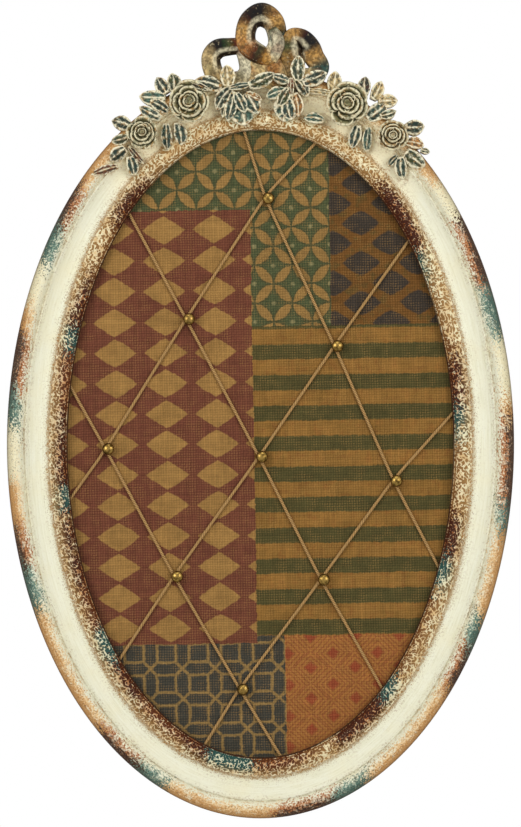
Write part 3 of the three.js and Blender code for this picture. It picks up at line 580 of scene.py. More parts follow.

        # A fine broken tan line is painted in the groove beside the rim, and a fainter one beside the band:
        # partly glaze, partly painted shade of the grooves
        broken = spots(5.0, 0.38, 0.6)
        lines = add(
            "ValToRGB",
            across,
            stops=[
                (0.29, 0.0), (0.315, 0.45), (0.335, 0.4), (0.37, 0.0),
                (0.655, 0.0), (0.69, 0.2), (0.712, 0.6), (0.735, 0.0),
            ],
        )
        groove_glazed_and_shaded = add("Mix", add("Math.MULTIPLY", lines, broken), warm, "#a08a5e")

        # Brown specks thicken towards the band, the rim and the crest
        speck_zone = add(
            "ValToRGB",
            across,
            stops=[
                (0.0, 1.0), (0.32, 1.0), (0.40, 0.6), (0.47, 0.12), (0.60, 0.06), (0.67, 0.5), (0.74, 1.0),
                (1.0, 1.0),
            ],
        )
        near_crest = add("MapRange", add("Math.PINGPONG", angle, 0.5), 0.125, 0.08)
        crowd = spots(22.0, 0.4, 0.65)
        crowding = add("Math.MULTIPLY_ADD", near_crest, 0.1, crowd)
        speck_level = add("Math.MULTIPLY_ADD", crowding, -0.08, 0.615)
        speck = add("MapRange", add("Math.SUBTRACT", fine, speck_level), -0.02, 0.03, 0.0, 0.85)
        crest_side = add("Math.MAXIMUM", add("Math.MULTIPLY", near_crest, 0.4), speck_zone)
        # Painted light: the cream is lifted towards the crest, partly paler paint and partly to offset the
        # shade that the crest casts
        ground = add("Mix", add("Math.MULTIPLY", near_crest, 0.8), groove_glazed_and_shaded, "#f4e9c4")
        speck_hue = add("Mix", near_crest, "#8f6637", "#b5803f")
        cove = add("Mix", add("Math.MULTIPLY", speck, crest_side), ground, speck_hue)

        # The rim's paint is dark outside and lighter further in, partly as painted shade of the outer slope,
        # and feathers out over the groove
        rough_edge = add("Math.MULTIPLY_ADD", add("TexNoise", place, 1 / (13.0 * MM), 4.0, 0.6), 0.14, -0.07)
        edge = add("Math.MULTIPLY_ADD", fine, 0.5, add("Math.SUBTRACT", rough_edge, 0.25))
        rim_zone = add("MapRange", add("Math.ADD", across, edge), 0.745, 0.8, 0.0, 0.97)
        outer_paint_and_shade = self.round_ramp(add, wrapped, self.rim, RIM_OUTER_SHADED)
        inner_paint = self.round_ramp(add, wrapped, self.rim, RIM_INNER)
        brushed = add("Math.MULTIPLY_ADD", streak, 0.3, add("Math.SUBTRACT", edge, 0.15))
        outside = add("MapRange", add("Math.ADD", across, brushed), 0.82, 0.9)
        rim_paint = add("Mix", outside, inner_paint, outer_paint_and_shade)
        grit = add("TexNoise", place, 1 / (1.3 * MM), 3.0, 0.6)
        pale_spots = add("MapRange", grit, 0.55, 0.63, 0.0, 0.45)
        solid = add("Math.MULTIPLY_ADD", outside, -0.75, 1.0)
        pale_share = add("Math.MULTIPLY", pale_spots, solid)
        rim_spots = add("Mix", pale_share, rim_paint, "#e6d09f")
        dark_spots = add("MapRange", grit, 0.44, 0.37, 0.0, 0.55)
        rim_dark = add("Mix", dark_spots, rim_spots, "#4f2c16")
        thin = add("MapRange", add("TexNoise", place, 1 / (5.5 * MM), 5.0, 0.7), 0.62, 0.5, 0.45, 1.0)
        laid = add("Math.MULTIPLY", rim_zone, add("Math.MAXIMUM", thin, outside))
        painted = add("Mix", laid, cove, rim_dark)
        # Painted shade: the outermost edge, where the rim turns away, is darkened to a near black-brown
        outer = add("MapRange", across, 0.955, 1.0, 0.0, 0.7)
        edged = add("Mix", outer, painted, "#3a1e0e")

        # Ochre and teal wash is laid round the crest's leaves, partly as stain and partly as painted shade
        # under them
        wash_and_shade_share = add("Attribute", attribute_name="wash").outputs["Fac"]
        stain = spots(2.6, 0.46, 0.62, 0.0, 0.5)
        wash_hue = spots(7.0, 0.34, 0.42)
        wash_paint = add("Mix", wash_hue, "#4c6455", "#a2733c")
        stained = add("Mix", add("Math.MULTIPLY", wash_and_shade_share, stain), edged, wash_paint)

        # Dark glaze stays in the winding cuts of the band and spreads where it wasn't rubbed off
        ragged = add("Math.MULTIPLY_ADD", fine, 0.4, add("Math.SUBTRACT", across, 0.2))
        inside = add("MapRange", ragged, 0.37, 0.29)
        patchy = spots(11.0, 0.25, 0.45)
        dense = add("Math.MULTIPLY", patchy, add("MapRange", across, 0.38, 0.12))
        low_edge = add("MapRange", across, 0.13, 0.05, 0.0, 0.15)
        dark_table = self.round_ramp(add, wrapped, self.band_dark)
        dark_share = add("Math.MULTIPLY_ADD", dark_table, dense, low_edge)
        narrow = add("Math.MULTIPLY_ADD", dark_share, -0.15, 0.215)
        swirl = add("Math.MULTIPLY_ADD", add("TexNoise", place, 1 / (2.0 * MM), 1.0), 2.0, -1.0)
        painted_cut = add("Math.ABSOLUTE", swirl)
        worm = add("Mix", add("MapRange", across, 0.03, 0.046), painted_cut, relief, data_type="FLOAT")
        uneven = add("Math.MULTIPLY_ADD", fine, 0.16, add("Math.SUBTRACT", worm, 0.08))
        in_cut = add("MapRange", add("Math.SUBTRACT", uneven, narrow), -0.03, 0.05)
        darker = add("MapRange", dark_share, 0.15, 0.8)
        ridge_hue = spots(7.0, 0.42, 0.62)
        ridge_light = add("Mix", ridge_hue, "#e9e0bb", "#d2b483")
        ridge_dark = self.round_ramp(add, wrapped, self.band, BAND_RIDGE)
        worn = add("Math.MULTIPLY", darker, add("MapRange", fine, 0.66, 0.46))
        ridge = add("Mix", worn, ridge_light, ridge_dark)
        cut_paint = self.round_ramp(add, wrapped, self.band, BAND_CUT)
        cut = add("Mix", add("MapRange", dark_share, 0.1, 0.6), "#a07b49", cut_paint)
        carved = add("Mix", in_cut, ridge, cut)
        banded = add("Mix", inside, stained, carved)
        # Painted shadow: the sight lip is dark, partly the lip's brown paint and partly painted shadow of the
        # gap over the cloth, and lighter near the crest
        lip = add("ValToRGB", across, stops=[(0.0, 1.0), (0.012, 1.0), (0.022, 0.45), (0.032, 0.0)])
        lip_paint_and_shadow = add("MapRange", dark_table, 0.13, 0.45, 0.5, 1.0)
        lip_shadowed = add("Mix", add("Math.MULTIPLY", lip, lip_paint_and_shadow), banded, "#3a2110")

        # The wall side is bare casting with a little overspray
        rear = add("MapRange", axes.outputs[1], -0.004, -0.0008)
        overspray = spots(7.0, 0.4, 0.7)
        bare = add("Mix", overspray, "#b7a88a", "#94856a")
        colour = add("Mix", rear, lip_shadowed, bare)

        # Satin on the cove, dull at both edges, where the paint is rubbed to a chalky film
        dull = add(
            "ValToRGB",
            across,
            stops=[(0.0, 0.4), (0.05, 0.4), (0.09, 0.0), (0.9, 0.0), (0.95, 0.35), (1.0, 0.4)],
        )
        rough = add("Math.MULTIPLY_ADD", streak, 0.2, 0.38)
        height = add("Math.MULTIPLY_ADD", streak, 0.6, add("TexNoise", place, 1 / (1.4 * MM), 3.0, 0.6))
        bump = add("Bump", {"Height": height, "Strength": 0.35, "Distance": 0.0004})
        return add(
            "BsdfPrincipled",
            {
                "Base Color": colour,
                "Roughness": add("Math.ADD", rough, dull),
                "Normal": bump,
                "Specular IOR Level": 0.12,
            },
        )


@dataclass(frozen=True)
class CarvingPaint(Finish):
    """Cast resin leaves, flowers and ribbon under hand-laid glaze, with the high edges rubbed to cream.

    The eye sees dark glaze in every groove, a broken mid colour on the flats and pale worn edges.
    """

    rubbed: float
    cover: float
    groove: str
    fleck: str
    pale: str = "#e2dab5"
    worn: str = "#e4dcba"
    blotch: float = 0.7
    blotch_size: float = 3.0
    fleck_share: float = 1.0
    stain: str = "#6d4a28"

    def shade(self, add: Adder) -> Node:
        """Build the glazed carving; the glaze attribute gives each leaf or petal its own colour.

        Args:
            add: adds a node to the tree.

        Returns:
            The shader node.
        """
        place = add("TexCoord").outputs["Object"]
        glaze = add("Attribute", attribute_name="glaze").outputs["Color"]
        panel = add("Attribute", attribute_name="panel").outputs["Fac"]
        hollow = add("Attribute", attribute_name="hollow").outputs["Fac"]

        # The cream under the glaze is stained ochre and brown in spots
        base_pale = add("Mix", self.speckle(add, 4.0, 0.46, 0.6), self.pale, "#b08a54")
        stained = add("Mix", self.speckle(add, 2.4, 0.56, 0.62), base_pale, self.stain)

        # Glaze fills the flats, strays over the ribs and is rubbed through in flecks
        thin = add("Math.MULTIPLY_ADD", self.speckle(add, 3.2, 0.6, 0.7), -0.8, self.cover)
        bare = add("Math.SUBTRACT", 1.0, panel)
        strayed = add("Math.MULTIPLY", self.speckle(add, 3.8, 0.47, 0.57), 0.8)
        painted = add("Math.MULTIPLY_ADD", bare, strayed, panel)
        cover = add("Math.MULTIPLY", painted, thin)
        shaded = add("Mix", self.blotch, glaze, self.groove)
        deep = add("Mix", self.speckle(add, self.blotch_size, 0.58, 0.42), glaze, shaded)
        flecked = add("Math.MULTIPLY", self.speckle(add, 2.3, 0.6, 0.7), self.fleck_share)
        broken = add("Mix", flecked, deep, self.fleck)
        base = add("Mix", cover, stained, broken)
        groove = add("MapRange", hollow, 0.05, 0.45, 0.0, 0.9)
        glazed = add("Mix", groove, base, self.groove)
        rubbed_off = add("MapRange", hollow, -0.15, -0.6, 0.0, self.rubbed)
        edge = add("Math.MULTIPLY", rubbed_off, self.speckle(add, 2.6, 0.6, 0.48))
        colour = add("Mix", edge, glazed, self.worn)
        grit = add("TexNoise", place, 600.0, 3.0)
        bump = add("Bump", {"Height": grit, "Strength": 0.3, "Distance": 0.0004})
        return add(
            "BsdfPrincipled",
            {"Base Color": colour, "Roughness": 0.42, "Normal": bump, "Specular IOR Level": 0.12},
        )


@dataclass(frozen=True)
class PrintedBurlap(Finish):
    """Plain-weave jute burlap with a patchwork of traditional repeats printed on it.

    The eye sees coarse threads 2 mm apart, slubs, tan bare jute inside the printed shapes and
    print edges broken by the weave.
    """

    thread: float = 2.0
    lean: float = 1.0
    circle_pitch: float = 21.5
    circle_turn: float = 45.0
    trellis_pitch: Pair = (45.6, 32.0)
    trellis_half: Pair = (14.8, 9.9)
    harlequin_pitch: Pair = (40.2, 24.6)
    harlequin_half: Pair = (16.9, 11.2)
    stripe: float = 12.28
    tile_pitch: Pair = (25.7, 24.6)
    nest_pitch: Pair = (36.0, 25.0)
    # A flat drawing of the cloth gives the places of its patches: its middle and its step
    drawing_middle: Pair = (260.5, 444)
    drawing_step: float = 0.8

    def shade(self, add: Adder) -> Node:
        """Build the print, patch by patch, over the weave.

        Args:
            add: adds a node to the tree.

        Returns:
            The shader node.
        """
        place = add("TexCoord").outputs["Object"]
        slub = add("TexNoise", place, 55.0, 4.0, 0.65)
        drift = add("VectorMath.SUBTRACT", slub.outputs["Color"], (0.5, 0.5, 0.5))
        wavy = add("VectorMath.MULTIPLY", drift, (3.0, 0, 3.0))
        in_mm = add("VectorMath.SCALE", place, 1000.0)
        spun = add(
            "VectorRotate",
            {"Vector": in_mm, "Angle": math.radians(self.lean)},
            rotation_type="Y_AXIS",
        )
        ragged = add("TexNoise", place, 520.0, 2.0)
        torn = add("VectorMath.SUBTRACT", ragged.outputs["Color"], (0.5, 0.5, 0.5))
        shaken = add("VectorMath.MULTIPLY_ADD", torn, (2.1, 0, 2.1), wavy)
        print_place = add("VectorMath.ADD", spun, shaken)
        across, _, up = add("SeparateXYZ", print_place).outputs
        weave_across, _, weave_up = add("SeparateXYZ", spun).outputs

        def repeat(middle: Pair, pitch: Pair) -> tuple:
            """Give the sideways and upward distance from the nearest place of a rectangular repeat.

            Args:
                middle: a place where it is centred.
                pitch: its sideways and upward steps.

            Returns:
                The two distances in millimetres.
            """
            out = []
            for axis, centre, step in zip((across, up), middle, pitch):
                wrapped = add("Math.WRAP", add("Math.SUBTRACT", axis, centre), step / 2, -step / 2)
                out.append(add("Math.ABSOLUTE", wrapped))
            return tuple(out)

        def lozenge(middle: Pair, pitch: Pair, half: Pair, power: float) -> Node:
            """Give a lozenge's size field: below 1 inside it, with rounder sides at a higher power.

            Args:
                middle: a place where one is centred.
                pitch: sideways and upward steps.
                half: half its width and half its height.
                power: how round its sides are.

            Returns:
                The size field.
            """
            side, rise = repeat(middle, pitch)
            left = add("Math.POWER", add("Math.DIVIDE", side, half[0]), power)
            right = add("Math.POWER", add("Math.DIVIDE", rise, half[1]), power)
            return add("Math.ADD", left, right)

        tan = add("Mix", add("MapRange", slub, 0.35, 0.7), "#896738", "#9c7641")

        deep_tan = add("Mix", add("MapRange", slub, 0.35, 0.7), "#7b5a2a", "#8e6631")
        mottle = add("MapRange", add("TexNoise", place, 1 / (7.0 * MM), 3.0, 0.6), 0.5, 0.68, 0.0, 0.5)

        # Circles that overlap in four petals, 21.5 mm apart on a lattice turned by 45 degrees
        circle_map = add(
            "Mapping",
            {"Vector": print_place, "Rotation": (0, math.radians(self.circle_turn), 0)},
        )
        side, _, rise = add("SeparateXYZ", circle_map).outputs
        lattice = add("CombineXYZ", *[add("Math.DIVIDE", way, self.circle_pitch) for way in (side, rise)])
        shifted = add("VectorMath.SUBTRACT", lattice, self.circle_shift())
        nearest = add(
            "TexVoronoi",
            {"Vector": shifted, "Scale": 1.0, "Randomness": 0.0},
            voronoi_dimensions="2D",
        )
        second = add(
            "TexVoronoi",
            {"Vector": shifted, "Scale": 1.0, "Randomness": 0.0},
            voronoi_dimensions="2D",
            feature="F2",
        )
        petal = add("MapRange", second, 0.692, 0.652)
        outline = add("MapRange", add("Math.ABSOLUTE", add("Math.SUBTRACT", second, 0.705)), 0.034, 0.002)
        star = add("Mix", add("MapRange", nearest, 0.105, 0.045), "#454c31", "#79734e")
        circles = add("Mix", outline, add("Mix", petal, star, add("Mix", 0.2, tan, "#5a5433")), "#45432a")

        # Dark rounded lozenges in an ogee trellis, 45.6 by 32 mm with a half step
        first_row = lozenge(self.on_print(361.5, 262.5), self.trellis_pitch, self.trellis_half, 1.25)
        next_row = lozenge(self.on_print(333.5, 243.0), self.trellis_pitch, self.trellis_half, 1.25)
        dark = add("MapRange", add("Math.MINIMUM", first_row, next_row), 1.08, 0.92)
        ogee = add("Mix", mottle, "#67451f", "#3f4224")
        trellis = add("Mix", dark, ogee, "#36302a")

        # Harlequin: tan diamonds 34 by 22 mm on maroon
        harlequin = add(
            "MapRange",
            lozenge(self.on_print(164.2, 291.0), self.harlequin_pitch, self.harlequin_half, 1.1),
            1.05,
            0.95,
        )
        maroon = add("Mix", harlequin, add("Mix", slub, "#603428", "#6c3f2d"), tan)

        # Stripes, 12.3 mm each
        stripe_middle = self.on_print(350.0, 366.0)[1]
        band = add(
            "Math.ABSOLUTE",
            add("Math.WRAP", add("Math.SUBTRACT", up, stripe_middle), self.stripe, -self.stripe),
        )
        stripes = add(
            "Mix",
            add("MapRange", band, 6.7, 5.7),
            add("Mix", slub, "#3f3b20", "#504a29"),
            add("Mix", mottle, deep_tan, "#7c4f26"),
        )

        # Tiles and hexagons drawn in tan line on navy
        sizes = repeat(self.on_print(198.6, 684.5), self.tile_pitch)
        side, rise = [add("Math.DIVIDE", size, pitch) for size, pitch in zip(sizes, self.tile_pitch)]
        greater = add("Math.MAXIMUM", side, rise)
        square = add("MapRange", add("Math.ABSOLUTE", add("Math.SUBTRACT", greater, 0.292)), 0.062, 0.022)
        diagonal = add("MapRange", add("Math.ABSOLUTE", add("Math.SUBTRACT", side, rise)), 0.087, 0.037)
        beyond = add("MapRange", greater, 0.325, 0.345)
        line = add("Math.MAXIMUM", square, add("Math.MULTIPLY", diagonal, beyond))
        tiles = add("Mix", line, "#3b3a33", "#846a3f")

        # Nested diamonds in red on orange
        first_side, first_rise = repeat(self.on_print(310.7, 668.4), self.nest_pitch)
        next_side, next_rise = repeat(self.on_print(333.2, 653.8), self.nest_pitch)
        nest = add(
            "Math.MINIMUM",
            add("Math.ADD", first_side, first_rise),
            add("Math.ADD", next_side, next_rise),
        )
        rings = add(
            "MapRange",
            add("Math.ABSOLUTE", add("Math.WRAP", add("Math.SUBTRACT", nest, 9.6), 2.0, -2.0)),
            1.25,
            0.45,
        )
        heart = add("MapRange", nest, 5.4, 4.2)
        fret = add("Mix", heart, add("Mix", rings, "#976331", "#87502c"), "#874027")

        # The patches meet on straight cuts of the print
        middle_cut = add("Math.GREATER_THAN", across, -5.2)
        top_cut = add("Math.GREATER_THAN", up, self.on_print(190, 210)[1])
        right_cut = add("Math.GREATER_THAN", across, self.on_print(330, 240)[0])
        stripe_top = add("Math.GREATER_THAN", up, self.on_print(300, 325.5)[1])
        low_cut = add("Math.LESS_THAN", up, self.on_print(200, 645)[1])
        right_low_cut = add("Math.LESS_THAN", up, self.on_print(330, 635.5)[1])
        fret_cut = add("Math.GREATER_THAN", across, self.on_print(286, 700)[0])
        left_side = add("Mix", top_cut, maroon, circles)
        right_top = add("Mix", right_cut, circles, trellis)
        right_side = add("Mix", stripe_top, stripes, right_top)
        halves = add("Mix", middle_cut, left_side, right_side)
        lower = add("Mix", fret_cut, tiles, fret)
        low_zone = add("Math.MAXIMUM", low_cut, add("Math.MULTIPLY", right_low_cut, middle_cut))
        dyed = add("Mix", low_zone, halves, lower)

        # Weave: each thread is a round ridge, over and under by turns; thick and thin threads vary its tone,
        # and its colour is painted darker in the gaps and lighter on the thread tops as painted shade and
        # painted highlight
        strayed = add("TexNoise", place, 130.0, 2.0)
        stray = add("Math.MULTIPLY_ADD", strayed, 1.4, -0.7)
        warp = add(
            "Math.PINGPONG",
            add("Math.DIVIDE", add("Math.ADD", weave_across, stray), self.thread),
            0.5,
        )
        weft = add("Math.PINGPONG", add("Math.DIVIDE", add("Math.ADD", weave_up, stray), self.thread), 0.5)
        count = add(
            "TexChecker",
            {"Vector": add("CombineXYZ", weave_across, weave_up), "Scale": 1 / self.thread},
        ).outputs["Fac"]
        ridge = add(
            "Math.ADD",
            add("Math.MULTIPLY", warp, add("Math.ADD", count, 0.5)),
            add("Math.MULTIPLY", weft, add("Math.SUBTRACT", 1.5, count)),
        )
        thick = add("TexNoise", add("VectorMath.MULTIPLY", spun, (0.5, 0, 0.04)), 1.0, 2.0)
        thin = add("TexNoise", add("VectorMath.MULTIPLY", spun, (0.04, 0, 0.5)), 1.0, 2.0)
        uneven = add("Math.ADD", thick, thin)
        shade = add(
            "Math.MULTIPLY",
            add("MapRange", ridge, 0.0, 0.95, 0.72, 1.16),
            add("MapRange", uneven, 0.6, 1.4, 0.74, 1.26),
        )
        grey = add("CombineColor", shade, shade, shade)
        shown = add(
            "Math.MULTIPLY",
            add("MapRange", ridge, 0.5, 0.9),
            add("MapRange", strayed, 0.4, 0.65, 0.08, 0.42),
        )
        # The painted shade and highlight of the weave multiply the print
        shaded = add("Mix", 1.0, dyed, grey, blend_type="MULTIPLY")
        colour = add("Mix", shown, shaded, "#a27c46")
        height = add("Math.ADD", ridge, add("Math.MULTIPLY", uneven, 0.6))
        bump = add("Bump", {"Height": height, "Strength": 0.5, "Distance": 0.0005})
        return add(
            "BsdfPrincipled",
            {"Base Color": colour, "Roughness": 0.95, "Normal": bump, "Specular IOR Level": 0.15},
        )

    def on_print(self, column: float, row: float) -> Pair:
        """Turn a place on the flat drawing of the cloth into the print's own place.

        Args:
            column: steps from the drawing's left.
            row: steps from its top.

        Returns:
            The sideways and upward place in millimetres.
        """
        x = (column - self.drawing_middle[0]) * self.drawing_step
        z = (self.drawing_middle[1] - row) * self.drawing_step
        lean = math.radians(self.lean)
        return x * math.cos(lean) + z * math.sin(lean), z * math.cos(lean) - x * math.sin(lean)

    def circle_shift(self) -> tuple[float, float, float]:
        """Give where the circles' lattice starts, in its own steps.

        Returns:
            The shift, in steps of the lattice.
        """
        x, z = self.on_print(272.5, 226.5)
        turn = math.radians(self.circle_turn)
        aside = (x * math.cos(turn) + z * math.sin(turn)) / self.circle_pitch
        above = (z * math.cos(turn) - x * math.sin(turn)) / self.circle_pitch
        return aside, above, 0.0


@dataclass(frozen=True)
class JuteTwine(Finish):
    """Three-ply jute twine, spun and undyed: dull and golden, with painted shade in the grooves between the
    plies.
    """

    def shade(self, add: Adder) -> Node:
        """Build the twine from its ply marks.

        Args:
            add: adds a node to the tree.

        Returns:
            The shader node.
        """
        fibre = add("Attribute", attribute_name="fibre").outputs["Vector"]
        ply = add("Attribute", attribute_name="ply").outputs["Fac"]
        hair = add("TexNoise", fibre, 6.0, 4.0, 0.7)
        tone = add("ValToRGB", hair, stops=[(0.25, "#8f6c3c"), (0.5, "#b08a55"), (0.75, "#c9a573")])
        # Painted shade: the grooves between the plies are darkened
        colour = add("Mix", add("MapRange", ply, 0.55, 0.0, 0.0, 0.75), tone, "#5b4226")
        bump = add("Bump", {"Height": hair, "Strength": 0.6, "Distance": 0.0003})
        return add(
            "BsdfPrincipled",
            {"Base Color": colour, "Roughness": 0.9, "Normal": bump, "Specular IOR Level": 0.2},
        )


@dataclass(frozen=True)
class PlatedMetal(Finish):
    """Steel with a thin plate of brass or zinc; dull stains and fine scratches break its shine."""

    bright: str
    stained: str
    roughness: float
    stain_size: float

    def shade(self, add: Adder) -> Node:
        """Build the plated metal.

        Args:
            add: adds a node to the tree.

        Returns:
            The shader node.
        """
        stain = self.speckle(add, self.stain_size, 0.42, 0.66)
        colour = add("Mix", stain, self.bright, self.stained)
        rough = add("MapRange", stain, 0.0, 1.0, self.roughness, self.roughness + 0.2)
        scratch = add("TexNoise", add("TexCoord").outputs["Object"], 900.0, 2.0)
        bump = add("Bump", {"Height": scratch, "Strength": 0.1, "Distance": 0.0002})
        return add(
            "BsdfPrincipled", {"Base Color": colour, "Metallic": 1.0, "Roughness": rough, "Normal": bump}
        )


@dataclass(frozen=True)
class PressedBoard(Finish):
    """Wood fibre pressed to a sheet: brown, with darker fibres and a low sheen."""

    pale: str
    dark: str
    fibre: float
    roughness: float

    def shade(self, add: Adder) -> Node:
        """Build the pressed fibre board.

        Args:
            add: adds a node to the tree.

        Returns:
            The shader node.
        """
        place = add("TexCoord").outputs["Object"]
        stretched = add("Mapping", {"Vector": place, "Scale": (1, 1, 0.35)})
        strand = add("TexNoise", stretched, 1 / (self.fibre * MM), 5.0, 0.7)
        cloud = add("TexNoise", place, 18.0, 3.0)
        tone = add("Math.ADD", strand, cloud)
        share = add("MapRange", tone, 0.75, 1.25)
        colour = add("Mix", share, self.dark, self.pale)
        bump = add("Bump", {"Height": strand, "Strength": 0.25, "Distance": 0.0003})
        return add("BsdfPrincipled", {"Base Color": colour, "Roughness": self.roughness, "Normal": bump})


@dataclass(frozen=True)
class CellFoam(Finish):
    """Open-cell polyether foam: pale, dull and full of fine pores."""

    def shade(self, add: Adder) -> Node:
        """Build the foam; its 0.5 mm pores are drawn 1.2 mm wide, darker in their pits as painted shade, so
        that they show.

        Args:
            add: adds a node to the tree.

        Returns:
            The shader node.
        """
        cell = add("TexVoronoi", {"Vector": add("TexCoord").outputs["Object"], "Scale": 1 / (1.2 * MM)})
        # Painted shade: the pits of the pores are darker
        colour = add("Mix", cell, "#cfc6a8", "#e9e3cd")
        bump = add("Bump", {"Height": cell, "Strength": 0.6, "Distance": 0.0006})
        return add("BsdfPrincipled", {"Base Color": colour, "Roughness": 1.0, "Normal": bump})


@dataclass(frozen=True)
class MouldedRubber(Finish):
    """Moulded black rubber: matt, faintly pebbled, with a grey bloom."""

    def shade(self, add: Adder) -> Node:
        """Build the rubber.

        Args:
            add: adds a node to the tree.

        Returns:
            The shader node.
        """
        bloom = self.speckle(add, 2.5, 0.45, 0.8)
        colour = add("Mix", bloom, "#1c1c1b", "#2c2c2a")
        grain = add("TexNoise", add("TexCoord").outputs["Object"], 1500.0, 1.0)
        bump = add("Bump", {"Height": grain, "Strength": 0.2, "Distance": 0.0002})
        return add("BsdfPrincipled", {"Base Color": colour, "Roughness": 0.75, "Normal": bump})


@dataclass(frozen=True)
class PaleFloor(Finish):
    """Plain pale studio floor that keeps the shadow and fades to the white background."""

    def shade(self, add: Adder) -> Node:
        """Build the floor: matt near the middle, and to the eye white further out.

        Args:
            add: adds a node to the tree.

        Returns:
            The shader node.
        """
        clear = seen_rays(add)
        reach = add("VectorMath.LENGTH", add("TexCoord").outputs["Object"])
        fade = add("MapRange", reach.outputs["Value"], 0.9, 1.5)
        matt = add("BsdfDiffuse", {"Color": linear("#f4f3f0")})
        white = add("Emission", {"Color": (1, 1, 1, 1), "Strength": 1.0})
        share = add("Math.MULTIPLY", fade, clear)
        return add("MixShader", share, matt, white)


MOULDING_PAINT = MouldingPaint("cast_resin_cream_paint")
LEAF_GLAZE = CarvingPaint(
    "cast_resin_leaf_glaze",
    rubbed=0.74,
    cover=1.0,
    groove="#24302a",
    stain="#8a6238",
    pale="#ece4c2",
    fleck="#b4bfa6",
    worn="#f0e8ca",
)
ROSE_GLAZE = CarvingPaint("cast_resin_rose_glaze", rubbed=0.8, cover=0.95, groove="#33321d", fleck="#a5a27c")
BOW_GLAZE = CarvingPaint(
    "cast_resin_ribbon_glaze",
    rubbed=0.0,
    cover=1.7,
    groove="#1c120a",
    fleck="#d9c69c",
    worn="#cfc09a",
    blotch=0.58,
    blotch_size=2.2,
    fleck_share=0.3,
)
BURLAP = PrintedBurlap("printed_jute_burlap")
TWINE = JuteTwine("three_ply_jute_twine")
AGED_BRASS = PlatedMetal("aged_brass_plate", "#94783f", "#4a3716", 0.24, 2.6)
BRASS_PLATE = PlatedMetal("bright_brass_plate", "#c9ab68", "#8d7238", 0.25, 4.0)
ZINC_PLATE = PlatedMetal("bright_zinc_plate", "#c9cac6", "#8f908c", 0.3, 5.0)
HARDBOARD = PressedBoard("tempered_hardboard", "#6d4b30", "#472f1d", 1.4, 0.5)
FIBREBOARD = PressedBoard("soft_fibreboard", "#b59a6d", "#8a7148", 2.2, 0.95)
FOAM = CellFoam("open_cell_foam")
RUBBER = MouldedRubber("moulded_black_rubber")
FLOOR = PaleFloor("pale_floor")


# Sub-assemblies


